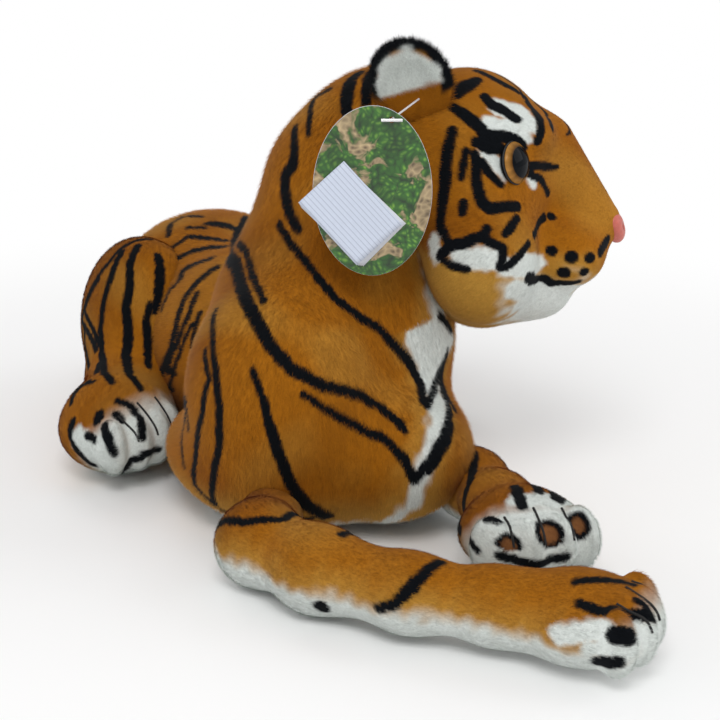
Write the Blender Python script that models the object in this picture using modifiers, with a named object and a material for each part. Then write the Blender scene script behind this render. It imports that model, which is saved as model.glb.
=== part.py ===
"""Plush tiger lying on its belly, its head turned to its left, with a hang tag pinned to its right ear.

The tiger faces -Y and its left side is +X. The origin is on the ground, on the flat patch that
the belly rests on. Every soft form is a sphere whose points are moved out from a spine
until they meet a blend of balls and tapered rods.
"""

import math

import bmesh
import bpy
import numpy as np
from mathutils import Matrix, Vector
from mathutils.bvhtree import BVHTree

# Fit and cloth
FIT_GAP = 0.0003
SWING_GAP = 0.0007
SKIN_THICKNESS = 0.0038
FLAT_DEPTH = 0.0005
CUT_OVERRUN = 0.02

# Torso and neck
TORSO_WIDTH = 0.160
TORSO_LENGTH = 0.300
TORSO_HEIGHT = 0.200
TORSO_SIZES = (TORSO_WIDTH, TORSO_LENGTH, TORSO_HEIGHT)
TORSO_BLEND = 0.018
BELLY_SEAM_HEIGHT = 0.020
BIB_WIDTH = 0.040

# Head
HEAD_WIDTH = 0.110
HEAD_LENGTH = 0.118
HEAD_HEIGHT = 0.124
HEAD_SIZES = (HEAD_WIDTH, HEAD_LENGTH, HEAD_HEIGHT)
HEAD_BLEND = 0.011
HEAD_TURN = math.radians(57)
HEAD_ROLL = math.radians(7)
HEAD_TURN_LIMIT = math.radians(12)

# Ears
EAR_WIDTH = 0.043
EAR_HEIGHT = 0.044
EAR_THICKNESS = 0.009
EAR_LIMIT = math.radians(10)

# Eyes and nose
EYE_DIAMETER = 0.0210
EYE_HEIGHT = 0.0052
PUPIL_DIAMETER = 0.0100
PUPIL_THICKNESS = 0.0016
STEM_DIAMETER = 0.0040
STEM_LENGTH = 0.0110
WASHER_DIAMETER = 0.0130
WASHER_THICKNESS = 0.0018
NOSE_WIDTH = 0.0200
NOSE_HEIGHT = 0.0140
NOSE_DEPTH = 0.0085

# Forelegs
FORELEG_REACH = 0.151
FORELEG_THICKNESS = 0.045
FORELEG_BLEND = 0.012
FORELEG_SWING = math.radians(14)

# Hind legs
THIGH_LENGTH = 0.094
THIGH_HEIGHT = 0.110
THIGH_THICKNESS = 0.072
HINDLEG_BLEND = 0.022
HINDLEG_LIFT = math.radians(12)

# Paws, the same on all four legs
PAW_WIDTH = 0.060
PAW_LENGTH = 0.064
PAW_HEIGHT = 0.041
TOE_BLEND = 0.004
THREAD_DIAMETER = 0.0014

# Tail
TAIL_LENGTH = 0.170
TAIL_THICKNESS = 0.027
TAIL_BLEND = 0.010
TAIL_SWING = math.radians(20)

# Hang tag
CARD_WIDTH = 0.0560
CARD_HEIGHT = 0.0810
CARD_THICKNESS = 0.0008
CARD_HOLE_RADIUS = 0.0016
CARD_STAND_OFF = 0.0015
CARD_SWING_GAP = 0.0022
LABEL_WIDTH = 0.0290
LABEL_HEIGHT = 0.0410
LABEL_THICKNESS = 0.0004
LABEL_SLANT = math.radians(44)
PIN_DIAMETER = 0.0010
PIN_BAR_DIAMETER = 0.0016
PIN_BAR_LENGTH = 0.0100

# Mesh fineness, as counts of sides and rings
TORSO_SIDES, TORSO_RINGS = 24, 20
HEAD_SIDES, HEAD_RINGS = 18, 14
LEG_SIDES, LEG_RINGS = 12, 14
TAIL_SIDES, TAIL_RINGS = 12, 14
EAR_SIDES, EAR_RINGS = 12, 8
ROUND_SIDES = 16
MARCH_STEPS = 90
MARCH_SHARE = 0.7
RELAX_STEPS = 14
RELAX_SHARE = 0.5
CARD_SIDES = 40
WASHER_SIDES = 12
NOSE_SIDES, NOSE_RINGS = 14, 8
STITCH_POINTS = 5
DOME_STEPS = 4
WELD_DISTANCE = 0.00001
TINY = 1e-9
FORM_SOLVER = "MANIFOLD"

# Balls are (centre, half size) and rods (end, end, radius, radius), in shares of width, length and height.
# A rod's radii are shares of the first of these three.
TORSO_BALL_SHARES = (
    ((0.07, 0.265, 0.317), (0.400, 0.240, 0.305)),
    ((0.00, 0.000, 0.2955), (0.395, 0.300, 0.3015)),
    ((-0.07, -0.290, 0.426), (0.400, 0.215, 0.400)),
    ((-0.36, -0.385, 0.348), (0.310, 0.180, 0.321)),
    ((0.03, -0.262, 0.784), (0.290, 0.160, 0.280)),
    ((-0.09, -0.430, 0.215), (0.300, 0.210, 0.200)),
    ((-0.340, -0.302, 0.165), (0.302, 0.213, 0.158)),
)
TORSO_ROD_SHARES = (
    ((-0.07, -0.305, 0.514), (0.100, -0.312, 0.964), 0.350, 0.230),
)
TORSO_ABOVE = (0.0, 1.0, 1.0)
TORSO_SPINE_SHARES = (
    (0.07, 0.270, 0.36), (0.00, 0.000, 0.36), (-0.04, -0.200, 0.44), (-0.03, -0.290, 0.61), (0.05, -0.300, 0.95),
)
NECK_PIVOT_SHARES = (0.10, -0.325, 0.86)
SHOULDER_RIGHT_SHARES = (-0.673, -0.586)
SHOULDER_LEFT_SHARES = (0.120, -0.265)
SHOULDER_HEADING_RIGHT = math.radians(0)
SHOULDER_HEADING_LEFT = math.radians(18)
SHOULDER_PITCH_RIGHT = math.radians(0)
SHOULDER_PITCH_LEFT = math.radians(3.5)
HIP_SHARES = (0.335, 0.235, 0.300)
HIP_MIDDLE_SHARE = 0.07
TAIL_ROOT_SHARES = (0.09, 0.500, 0.160)

HEAD_OFFSET_SHARES = (-0.10, -0.40, -0.07)
HEAD_BALL_SHARES = (
    ((0.00, 0.060, 0.100), (0.440, 0.400, 0.440)),
    ((0.30, 0.010, -0.190), (0.240, 0.250, 0.300)),
    ((-0.30, 0.010, -0.190), (0.240, 0.250, 0.300)),
    ((0.00, -0.020, -0.290), (0.380, 0.280, 0.260)),
    ((0.00, -0.330, -0.210), (0.260, 0.230, 0.165)),
    ((0.13, -0.375, -0.255), (0.155, 0.150, 0.130)),
    ((-0.13, -0.375, -0.255), (0.155, 0.150, 0.130)),
    ((0.00, -0.235, -0.385), (0.180, 0.165, 0.125)),
)
HEAD_ROD_SHARES = (
    ((0.00, -0.262, 0.193), (0.00, -0.515, -0.095), 0.184, 0.118),
)
HEAD_SPINE_SHARES = ((0.00, 0.100, -0.020), (0.00, -0.300, -0.160))
EYE_AIM_SHARES = (0.300, -0.040, 0.145)
EYE_FACING_SHARES = (0.60, -0.78, 0.14)
NOSE_AIM_SHARES = (0.00, -0.300, -0.175)
EAR_BASE_SHARES = (0.300, 0.300, 0.430)
EAR_LEAN_SHARES = (0.42, 0.10, 0.90)

# A leg runs from its own end at (0, 0) along -Y and bends to the inner side, +X here. Points are shares of its
# reach: (inward, forward, radius share of thickness).
FORELEG_PATH_SHARES = (
    (0.00, 0.00, 0.43), (0.04, 0.28, 0.43), (0.17, 0.58, 0.38), (0.33, 0.80, 0.37), (0.45, 0.95, 0.38),
)
FORELEG_ROOT_RIGHT_SHARES = ((0.26, -0.32, 0.32),)
FORELEG_PAW_SHARES = (0.49, 1.00)
FORELEG_PAW_TURN = math.radians(36)
HINDLEG_PATH_SHARES = ((0.26, 0.27, -0.28, 0.43), (0.62, 0.60, -0.30, 0.38))
HINDLEG_PAW_SHARES = (0.76, 0.765)
HINDLEG_LEFT_SHARE = 0.68
HINDLEG_PAW_TURN = math.radians(-20)
TOE_SPREAD_SHARES = (-0.345, -0.120, 0.120, 0.345)
TOE_REACH_SHARES = (0.26, 0.34, 0.34, 0.26)
TOE_HALF_SHARES = (0.150, 0.200, 0.400)
TAIL_PATH_SHARES = (
    (0.00, 0.00, 1.00), (0.17, 0.17, 0.36), (0.40, 0.24, 0.00), (0.66, 0.15, 0.00), (0.83, -0.08, 0.00),
    (0.87, -0.36, 0.00),
)
TAIL_RADIUS_SHARES = (0.56, 0.50, 0.50, 0.50, 0.50, 0.46)
CARD_CENTRE_SHARES = (-0.156, -0.487, 0.9025)
CARD_FACING = math.radians(-33)
CARD_HOLE_SHARE = 0.42
LABEL_CENTRE_SHARES = (-0.16, -0.14)

# The eye and the nose, in shares of their own sizes
EYE_RIM_SHARE = 0.20
EYE_SINK_SHARE = 0.075
PUPIL_CROWN_SHARE = 0.45
PUPIL_EDGE_SHARE = 0.88
NOSE_TAPER_SHARE = 0.55
NOSE_SINK_SHARE = 0.15
NOSE_FACING_SHARES = (0.0, -0.93, 0.36)

# The ear, the paw's stitches, and the seams
EAR_ALONG_SHARES = (0.25, -1.0, 0.0)
EAR_SPINE_SHARE = 0.2
EAR_MIDDLE_SHARE = 0.4
EAR_SEAM_SHARE = 0.10
STITCH_LOW = math.radians(15)
STITCH_HIGH = math.radians(78)
STITCH_BASE_SHARE = 0.20
FORELEG_SEAM_SHARE = 0.36
BIB_MIDDLE_SHARE = 0.05
BIB_BACK_SHARE = -0.36
BIB_TOP_HEIGHT = 0.130
CARD_HOLE_SIDE_SHARE = 0.16
PIN_EAR_SHARES = (-0.10, 0.28)

COLLECTION = "plush_tiger"
CUTTERS = "plush_tiger_cutters"
COLOURS = {
    "orange": ((0.52, 0.20, 0.035), 0.9),
    "white": ((0.70, 0.70, 0.68), 0.9),
    "black": ((0.012, 0.012, 0.014), 0.8),
    "amber": ((0.20, 0.09, 0.025), 0.15),
    "pupil": ((0.005, 0.005, 0.005), 0.1),
    "pink": ((0.48, 0.16, 0.13), 0.5),
    "plastic": ((0.75, 0.75, 0.75), 0.4),
    "card": ((0.06, 0.16, 0.03), 0.4),
    "paper": ((0.72, 0.75, 0.80), 0.7),
}


def clear_scene():
    for obj in list(bpy.data.objects):
        bpy.data.objects.remove(obj, do_unlink=True)
    for name in (COLLECTION, CUTTERS):
        if name not in bpy.data.collections:
            bpy.context.scene.collection.children.link(bpy.data.collections.new(name))


def material(name):
    if name in bpy.data.materials:
        return bpy.data.materials[name]
    colour, roughness = COLOURS[name]
    made = bpy.data.materials.new(name)
    made.use_nodes = True
    shader = made.node_tree.nodes["Principled BSDF"]
    shader.inputs["Base Color"].default_value = (*colour, 1.0)
    shader.inputs["Roughness"].default_value = roughness
    shader.inputs["Metallic"].default_value = 0.0
    return made


def new_object(name, mesh, matrix=None, finish=None, cutter=False):
    """Links a mesh as a named object, either a piece of the toy or a cutter."""
    obj = bpy.data.objects.new(name, mesh)
    bpy.data.collections[CUTTERS if cutter else COLLECTION].objects.link(obj)
    obj.matrix_world = matrix or Matrix()
    if finish:
        mesh.materials.clear()
        mesh.materials.append(material(finish))
    obj.hide_render = cutter
    if cutter:
        obj.display_type = "WIRE"
    return obj


def scaled(shares, sizes):
    return np.array([share * size for share, size in zip(shares, sizes)])


class Form:
    """A blend of balls and tapered rods in its own frame, with the spine that its skin is measured from."""

    above = (0.0, 0.0, 1.0)

    def __init__(self, matrix, balls, rods, blend, spine, sides, rings, details=(), detail_blend=0.0):
        self.matrix = matrix
        self.balls = balls
        self.rods = rods
        self.blend = blend
        self.spine = [np.array(p) for p in spine]
        self.sides = sides
        self.rings = rings
        self.details = details
        self.detail_blend = detail_blend

    def distance(self, points):
        """Signed distance from each point to the form, negative inside."""
        total = None
        for centre, half in self.balls:
            total = smooth_union(total, ball_distance(points, centre, half), self.blend)
        for start, end, radius_a, radius_b in self.rods:
            total = smooth_union(total, rod_distance(points, start, end, radius_a, radius_b), self.blend)
        for centre, half in self.details:
            total = smooth_union(total, ball_distance(points, centre, half), self.detail_blend)
        return total

    def rays(self):
        """Where each point of the sphere starts on the spine, and which way it moves out."""
        sides, rings = self.sides, self.rings
        steps = [np.linalg.norm(b - a) for a, b in zip(self.spine, self.spine[1:])]
        cap = min(min(half) for centre, half in self.balls) if self.balls else self.rods[0][2]
        quarter = cap * math.pi / 2
        length = sum(steps)
        starts, directions = [], []
        for ring in range(rings + 1):
            way = (2 * quarter + length) * ring / rings
            lean = min(way / quarter, 1.0) - 1.0 + max((way - quarter - length) / quarter, 0.0)
            point, tangent = self.along(min(max(way - quarter, 0.0), length), steps)
            side = np.cross(tangent, self.above)
            side /= np.linalg.norm(side)
            up = np.cross(side, tangent)
            for k in range(sides):
                angle = 2 * math.pi * k / sides
                radial = side * math.cos(angle) + up * math.sin(angle)
                starts.append(point)
                directions.append(radial * math.cos(lean * math.pi / 2) + tangent * math.sin(lean * math.pi / 2))
        return np.array(starts), np.array(directions)

    def along(self, way, steps):
        """A point on the spine and the direction there, smoothed over the corners."""
        total, corners = 0.0, [0.0]
        for step in steps:
            total += step
            corners.append(total)
        if total == 0.0:
            return self.spine[0], np.array((0.0, -1.0, 0.0))
        directions = [(b - a) / s for a, b, s in zip(self.spine, self.spine[1:], steps)]
        middles = [(a + b) / 2 for a, b in zip(corners, corners[1:])]
        point = np.array([np.interp(way, corners, [p[k] for p in self.spine]) for k in range(3)])
        tangent = np.array([np.interp(way, middles, [d[k] for d in directions]) for k in range(3)])
        return point, tangent / np.linalg.norm(tangent)

    def mesh(self, name):
        """A sphere primitive whose points lie on the form."""
        sides, rings = self.sides, self.rings
        starts, directions = self.rays()
        points = march(self, starts, directions)
        bm = bmesh.new()
        bmesh.ops.create_uvsphere(bm, u_segments=sides, v_segments=rings, radius=1.0)
        for vert in bm.verts:
            ring = round(math.acos(max(-1.0, min(1.0, vert.co.z))) * rings / math.pi)
            turn = round(math.atan2(vert.co.y, vert.co.x) * sides / (2 * math.pi)) % sides
            vert.co = points[ring * sides + turn]
        relax(self, bm)
        bmesh.ops.triangulate(bm, faces=bm.faces)
        bmesh.ops.recalc_face_normals(bm, faces=bm.faces)
        if bm.calc_volume(signed=True) < 0:
            bmesh.ops.reverse_faces(bm, faces=bm.faces)
        made = bpy.data.meshes.new(name)
        bm.to_mesh(made)
        bm.free()
        made.shade_smooth()
        return made

    def object(self, name, grow=0.0, finish=None, cutter=False):
        """The form as an object, with its skin moved out by a distance."""
        mesh = self.mesh(name)
        for vert, normal in zip(mesh.vertices, [vert.normal.copy() for vert in mesh.vertices]):
            vert.co += normal * grow
        return new_object(name, mesh, self.matrix, finish, cutter)


def march(form, starts, directions):
    """Moves points out from their starts until they lie on the form."""
    reach = np.full(len(starts), FIT_GAP)
    for _ in range(MARCH_STEPS):
        reach -= MARCH_SHARE * form.distance(starts + directions * reach[:, None])
    return starts + directions * reach[:, None]


def relax(form, bm):
    """Spreads a mesh's points evenly over the form that they lie on."""
    bm.verts.ensure_lookup_table()
    points = np.array([vert.co for vert in bm.verts])
    ends = np.array([[vert.index for vert in edge.verts] for edge in bm.edges])
    counts = np.bincount(ends.ravel(), minlength=len(points))[:, None]
    for _ in range(RELAX_STEPS):
        total = np.zeros_like(points)
        np.add.at(total, ends[:, 0], points[ends[:, 1]])
        np.add.at(total, ends[:, 1], points[ends[:, 0]])
        points += RELAX_SHARE * (total / counts - points)
        points -= form.distance(points)[:, None] * slope(form, points)
    for vert, point in zip(bm.verts, points):
        vert.co = point


def slope(form, points):
    """The direction in which the signed distance grows."""
    grown = [form.distance(points + step) - form.distance(points - step) for step in np.eye(3) * FIT_GAP]
    away = np.array(grown).T
    return away / np.linalg.norm(away, axis=1)[:, None]


def smooth_union(first, second, blend):
    if first is None:
        return second
    near = np.clip(blend - np.abs(first - second), 0.0, None) / blend
    return np.minimum(first, second) - near * near * blend / 4


def ball_distance(points, centre, half):
    away = points - np.array(centre)
    half = np.array(half)
    size = np.linalg.norm(away / half, axis=1)
    slope = np.maximum(np.linalg.norm(away / half**2, axis=1), TINY)
    return size * (size - 1.0) / slope


def rod_distance(points, start, end, radius_a, radius_b):
    run = np.array(end) - np.array(start)
    share = np.clip((points - start) @ run / (run @ run), 0.0, 1.0)
    nearest = np.array(start) + share[:, None] * run
    return np.linalg.norm(points - nearest, axis=1) - radius_a - share * (radius_b - radius_a)


def balls_from(shares, sizes):
    return [(scaled(centre, sizes), scaled(half, sizes)) for centre, half in shares]


def rods_from(shares, sizes):
    return [(scaled(a, sizes), scaled(b, sizes), ra * sizes[0], rb * sizes[0]) for a, b, ra, rb in shares]


def settle(form):
    """Lowers or lifts a form so that its lowest point is just under the ground, where it is cut flat."""
    mesh = form.mesh("probe")
    low = min((form.matrix @ v.co).z for v in mesh.vertices)
    bpy.data.meshes.remove(mesh)
    form.matrix = Matrix.Translation((0, 0, -FLAT_DEPTH - low)) @ form.matrix
    return form


def box_mesh(name, low, high):
    bm = bmesh.new()
    bmesh.ops.create_cube(bm, size=1.0)
    for vert in bm.verts:
        vert.co = [low[k] if vert.co[k] < 0 else high[k] for k in range(3)]
    mesh = bpy.data.meshes.new(name)
    bm.to_mesh(mesh)
    bm.free()
    return mesh


def box_cutter(name, low, high, matrix=None):
    return new_object(name, box_mesh(name, low, high), matrix, cutter=True)


def combined(obj, cutter, operation, solver):
    modifier = obj.modifiers.new(operation.lower(), "BOOLEAN")
    modifier.object = cutter
    modifier.operation = operation
    modifier.solver = solver
    bpy.context.view_layer.update()
    graph = bpy.context.evaluated_depsgraph_get()
    mesh = bpy.data.meshes.new_from_object(obj.evaluated_get(graph))
    obj.modifiers.remove(modifier)
    return mesh


def boolean(obj, cutter, operation="DIFFERENCE", solver="EXACT"):
    """Applies one Boolean to a piece."""
    mesh = combined(obj, cutter, operation, solver)
    finish = obj.data.materials[0] if obj.data.materials else None
    obj.data = mesh
    mesh.materials.clear()
    if finish:
        mesh.materials.append(finish)
    for polygon in mesh.polygons:
        polygon.material_index = 0


def drop_offcuts(piece):
    """Keeps only the largest of the closed bodies that cuts have left."""
    bm = bmesh.new()
    bm.from_mesh(piece.data)
    left = set(bm.faces)
    bodies = []
    while left:
        body, edge = set(), {min(left, key=lambda face: face.index)}
        while edge:
            body |= edge
            edge = {near for face in edge for line in face.edges for near in line.link_faces} - body
        left -= body
        bodies.append(body)
    bodies.sort(key=lambda body: sum(face.calc_area() for face in body))
    for body in bodies[:-1]:
        bmesh.ops.delete(bm, geom=list(body), context="FACES")
    bm.to_mesh(piece.data)
    bm.free()


def turned(matrix, pivot, axis, angle):
    """A matrix turned about an axis through a pivot in the world."""
    move = Matrix.Translation(pivot)
    return move @ Matrix.Rotation(angle, 4, Vector(axis)) @ move.inverted() @ matrix


def cut_clear(piece, cutter, pivot, axis, angles):
    """Cuts a piece with a cutter, at rest and as the cutter stands when the piece swings by each angle."""
    rest = cutter.matrix_world.copy()
    for angle in (0.0, *angles):
        cutter.matrix_world = turned(rest, pivot, axis, -angle)
        boolean(piece, cutter, solver=FORM_SOLVER)
    cutter.matrix_world = rest


def cut_flat(piece):
    """Takes off what lies below the ground."""
    boolean(piece, bpy.data.objects["ground"])


def split(obj, name, low, high, matrix=None):
    """Takes what a piece has inside a box off as a white piece of its own, with the fit gap between the two."""
    panel = new_object(name, obj.data.copy(), obj.matrix_world.copy(), "white")
    boolean(panel, box_cutter(name + "_side", low, high, matrix), "INTERSECT")
    boolean(obj, box_cutter(name + "_side_wide", *widened(low, high), matrix))
    return panel


def widened(low, high):
    return [value - FIT_GAP for value in low], [value + FIT_GAP for value in high]


def add_panel(obj, form, name, low, high):
    """Takes the outermost cloth inside a box in the form's frame off a piece, as a white panel of its own."""
    panel = new_object(name, obj.data.copy(), obj.matrix_world.copy(), "white")
    boolean(panel, box_cutter(name + "_side", low, high, form.matrix), "INTERSECT", FORM_SOLVER)
    boolean(panel, form.object(name + "_back", -SKIN_THICKNESS, cutter=True), solver=FORM_SOLVER)
    room = box_cutter(name + "_room", *widened(low, high), form.matrix)
    boolean(room, form.object(name + "_backing", -SKIN_THICKNESS - FIT_GAP, cutter=True), solver=FORM_SOLVER)
    boolean(obj, room, solver=FORM_SOLVER)
    return panel


def make_triangles(obj):
    bm = bmesh.new()
    bm.from_mesh(obj.data)
    bmesh.ops.remove_doubles(bm, verts=bm.verts, dist=WELD_DISTANCE)
    bmesh.ops.triangulate(bm, faces=bm.faces)
    bm.to_mesh(obj.data)
    bm.free()


def soft_limb(form, name, torso_room, pivot, axis, angles):
    """A stuffed form cut clear of the torso that carries it, at rest and at the joint's limits."""
    piece = form.object(name, finish="orange")
    cut_clear(piece, torso_room, pivot, axis, angles)
    cut_flat(piece)
    drop_offcuts(piece)
    return piece


def set_origin(obj, point):
    """Moves an object's origin to a world point and leaves its mesh where it is."""
    shift = Matrix.Translation(obj.matrix_world.inverted() @ Vector(point))
    obj.data.transform(shift.inverted())
    obj.matrix_world = obj.matrix_world @ shift


def surface_hits(form, start, directions):
    """Where rays in a form's own frame leave its skin for good."""
    mesh = form.mesh("probe")
    tree = BVHTree.FromPolygons([v.co for v in mesh.vertices], [tuple(p.vertices) for p in mesh.polygons])
    bpy.data.meshes.remove(mesh)
    hits = []
    for direction in directions:
        unit = Vector(direction).normalized()
        far = Vector(start) + unit * (HEAD_LENGTH + TORSO_LENGTH)
        hits.append(tree.ray_cast(far, -unit)[0])
    return hits


def frame_at(point, facing, up=(0, 0, 1)):
    """A frame at a point whose +Z faces out and whose +Y leans to up."""
    z = Vector(facing).normalized()
    x = Vector(up).cross(z).normalized()
    y = z.cross(x)
    return Matrix.Translation(point) @ Matrix((x, y, z)).transposed().to_4x4()


def turned_mesh(name, profile, sides=ROUND_SIDES):
    """A closed turned shape from a profile of (radius, height), outer side first from the top down."""
    bm = bmesh.new()
    verts = [bm.verts.new((radius, 0, height)) for radius, height in profile]
    for a, b in zip(verts, verts[1:]):
        bm.edges.new((a, b))
    mesh = bpy.data.meshes.new(name)
    bm.to_mesh(mesh)
    bm.free()
    obj = new_object(name + "_profile", mesh, cutter=True)
    screw = obj.modifiers.new("turn", "SCREW")
    screw.steps = sides
    screw.render_steps = sides
    screw.use_merge_vertices = True
    screw.merge_threshold = WELD_DISTANCE
    screw.use_normal_calculate = True
    bpy.context.view_layer.update()
    graph = bpy.context.evaluated_depsgraph_get()
    made = bpy.data.meshes.new_from_object(obj.evaluated_get(graph))
    bpy.data.objects.remove(obj)
    bm = bmesh.new()
    bm.from_mesh(made)
    bmesh.ops.remove_doubles(bm, verts=bm.verts, dist=WELD_DISTANCE)
    bmesh.ops.recalc_face_normals(bm, faces=bm.faces)
    if bm.calc_volume(signed=True) < 0:
        bmesh.ops.reverse_faces(bm, faces=bm.faces)
    bm.to_mesh(made)
    bm.free()
    return made


def neck_pivot():
    """The point that the head turns about, inside the top of the neck."""
    return Vector(scaled(NECK_PIVOT_SHARES, TORSO_SIZES))


def torso_form():
    form = Form(
        Matrix(),
        balls_from(TORSO_BALL_SHARES, TORSO_SIZES),
        rods_from(TORSO_ROD_SHARES, TORSO_SIZES),
        TORSO_BLEND,
        [scaled(p, TORSO_SIZES) for p in TORSO_SPINE_SHARES],
        TORSO_SIDES,
        TORSO_RINGS,
    )
    form.above = TORSO_ABOVE
    return settle(form)


def head_matrix():
    """The head's frame: turned about the neck's axis, rolled about its own nose line."""
    turn = Matrix.Translation(neck_pivot()) @ Matrix.Rotation(HEAD_TURN, 4, "Z")
    offset = Matrix.Translation(scaled(HEAD_OFFSET_SHARES, HEAD_SIZES))
    return turn @ offset @ Matrix.Rotation(HEAD_ROLL, 4, "Y")


def head_form():
    return Form(
        head_matrix(),
        balls_from(HEAD_BALL_SHARES, HEAD_SIZES),
        rods_from(HEAD_ROD_SHARES, HEAD_SIZES),
        HEAD_BLEND,
        [scaled(p, HEAD_SIZES) for p in HEAD_SPINE_SHARES],
        HEAD_SIDES,
        HEAD_RINGS,
    )


def paw_balls(place, turn):
    """The paw's pad and its four toes, with the paw pointing along -Y turned by an angle."""
    spin = Matrix.Rotation(turn, 3, "Z")
    middle = Vector(place)
    pad = (middle, (PAW_WIDTH / 2, PAW_LENGTH / 2, PAW_HEIGHT / 2))
    toes = []
    for spread, reach in zip(TOE_SPREAD_SHARES, TOE_REACH_SHARES):
        centre = middle + spin @ Vector((spread * PAW_WIDTH, -reach * PAW_LENGTH, 0))
        half = scaled(TOE_HALF_SHARES, (PAW_WIDTH, PAW_LENGTH, PAW_HEIGHT))
        toes.append((centre, half))
    return [pad], toes


def foreleg_form(side, shoulder_shares, heading, pitch, root=()):
    """side is 1 where the leg's inner side is +X, and -1 where it is -X. A root leads from the torso to the leg."""
    path = []
    for inward, forward, radius in (*root, *FORELEG_PATH_SHARES):
        height = PAW_HEIGHT / 2
        point = Vector((side * inward * FORELEG_REACH, -forward * FORELEG_REACH, height))
        path.append((point, radius * FORELEG_THICKNESS))
    rods = [(a, b, ra, rb) for (a, ra), (b, rb) in zip(path, path[1:])]
    inward, forward = FORELEG_PAW_SHARES
    place = Vector((side * inward * FORELEG_REACH, -forward * FORELEG_REACH, PAW_HEIGHT / 2))
    pads, toes = paw_balls(place, side * FORELEG_PAW_TURN)
    spine = [point for point, _ in path] + [place]
    start = scaled(shoulder_shares, TORSO_SIZES)
    matrix = Matrix.Translation((*start, 0)) @ Matrix.Rotation(heading, 4, "Z") @ Matrix.Rotation(-pitch, 4, "X")
    return settle(
        Form(matrix, pads, rods, FORELEG_BLEND, spine, LEG_SIDES, LEG_RINGS + 2 * len(root), toes, TOE_BLEND)
    )


def hindleg_sizes(side):
    """How far a hind leg's path shares reach: outward and along +Y. The left leg is drawn in more."""
    drawn = HINDLEG_LEFT_SHARE if side > 0 else 1.0
    return THIGH_THICKNESS * drawn, -THIGH_LENGTH * drawn


def hindleg_form(side):
    """side is 1 on the tiger's left and -1 on its right."""
    thigh = (
        (0.0, 0.0, THIGH_HEIGHT / 2),
        (THIGH_THICKNESS / 2, THIGH_LENGTH / 2, THIGH_HEIGHT / 2),
    )
    sizes = hindleg_sizes(side)
    path = [Vector((0.0, 0.0, THIGH_HEIGHT / 2))]
    radii = [THIGH_THICKNESS / 2]
    for outward, forward, rise, radius in HINDLEG_PATH_SHARES:
        out, ahead = scaled((outward, forward), sizes)
        path.append(Vector((side * out, ahead, THIGH_HEIGHT * (0.5 + rise))))
        radii.append(radius * THIGH_THICKNESS)
    rods = [(a, b, ra, rb) for a, b, ra, rb in zip(path[1:], path[2:], radii[1:], radii[2:])]
    out, ahead = scaled(HINDLEG_PAW_SHARES, sizes)
    place = Vector((side * out, ahead, PAW_HEIGHT / 2))
    pads, toes = paw_balls(place, side * HINDLEG_PAW_TURN)
    hip = scaled(HIP_SHARES, TORSO_SIZES)
    middle = HIP_MIDDLE_SHARE * TORSO_WIDTH
    matrix = Matrix.Translation((middle + side * hip[0], hip[1], 0))
    return settle(
        Form(
            matrix, [thigh] + pads, rods, HINDLEG_BLEND, path + [place], LEG_SIDES, LEG_RINGS, toes, TOE_BLEND
        )
    )


def tail_form():
    sizes = (TAIL_LENGTH, TAIL_LENGTH)
    root = scaled(TAIL_ROOT_SHARES, TORSO_SIZES)
    rise = root[2] - TAIL_THICKNESS / 2
    path = []
    for out, back, height in TAIL_PATH_SHARES:
        x, y = scaled((out, back), sizes)
        path.append(Vector((x, y, TAIL_THICKNESS / 2 + height * rise)))
    radii = [share * TAIL_THICKNESS for share in TAIL_RADIUS_SHARES]
    rods = [(a, b, ra, rb) for a, b, ra, rb in zip(path, path[1:], radii, radii[1:])]
    matrix = Matrix.Translation((root[0], root[1], 0))
    return settle(Form(matrix, [], rods, TAIL_BLEND, path, TAIL_SIDES, TAIL_RINGS))


def build_torso(form):
    """The stuffed torso with its white bib and its white belly."""
    torso = form.object("torso", finish="orange")
    cut_flat(torso)
    reach = TORSO_LENGTH + CUT_OVERRUN
    add_panel(torso, form, "belly_panel", (-reach, -reach, -reach), (reach, reach, BELLY_SEAM_HEIGHT))
    middle = BIB_MIDDLE_SHARE * TORSO_WIDTH
    back = BIB_BACK_SHARE * TORSO_LENGTH
    half = BIB_WIDTH / 2
    add_panel(
        torso,
        form,
        "chest_bib",
        (middle - half, -reach, BELLY_SEAM_HEIGHT + FIT_GAP),
        (middle + half, back, BIB_TOP_HEIGHT),
    )


def eye_profile(grow):
    """The domed eye with its stem, from the top of the dome down."""
    radius = EYE_DIAMETER / 2
    rim = EYE_HEIGHT * EYE_RIM_SHARE
    points = [(0, EYE_HEIGHT + grow)]
    for step in range(1, DOME_STEPS):
        angle = math.pi / 2 * step / DOME_STEPS
        points.append(((radius + grow) * math.sin(angle), (EYE_HEIGHT - rim + grow) * math.cos(angle) + rim))
    points += [(radius + grow, rim), (radius + grow, -grow)]
    stem = STEM_DIAMETER / 2 + grow
    return points + [(stem, -grow), (stem, -STEM_LENGTH - grow), (0, -STEM_LENGTH - grow)]


def pupil_profiles():
    """The black pupil, and the recess in the eye that it sits in."""
    radius = PUPIL_DIAMETER / 2
    crown = EYE_HEIGHT + FIT_GAP
    low = EYE_HEIGHT - PUPIL_THICKNESS
    edge = EYE_HEIGHT * PUPIL_EDGE_SHARE
    pupil = ((0, crown), (radius * PUPIL_CROWN_SHARE, crown), (radius, edge), (radius, low), (0, low))
    wide = radius + FIT_GAP
    deep = low - FIT_GAP
    return pupil, ((0, crown + EYE_HEIGHT), (wide, crown + EYE_HEIGHT), (wide, deep), (0, deep))


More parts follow.
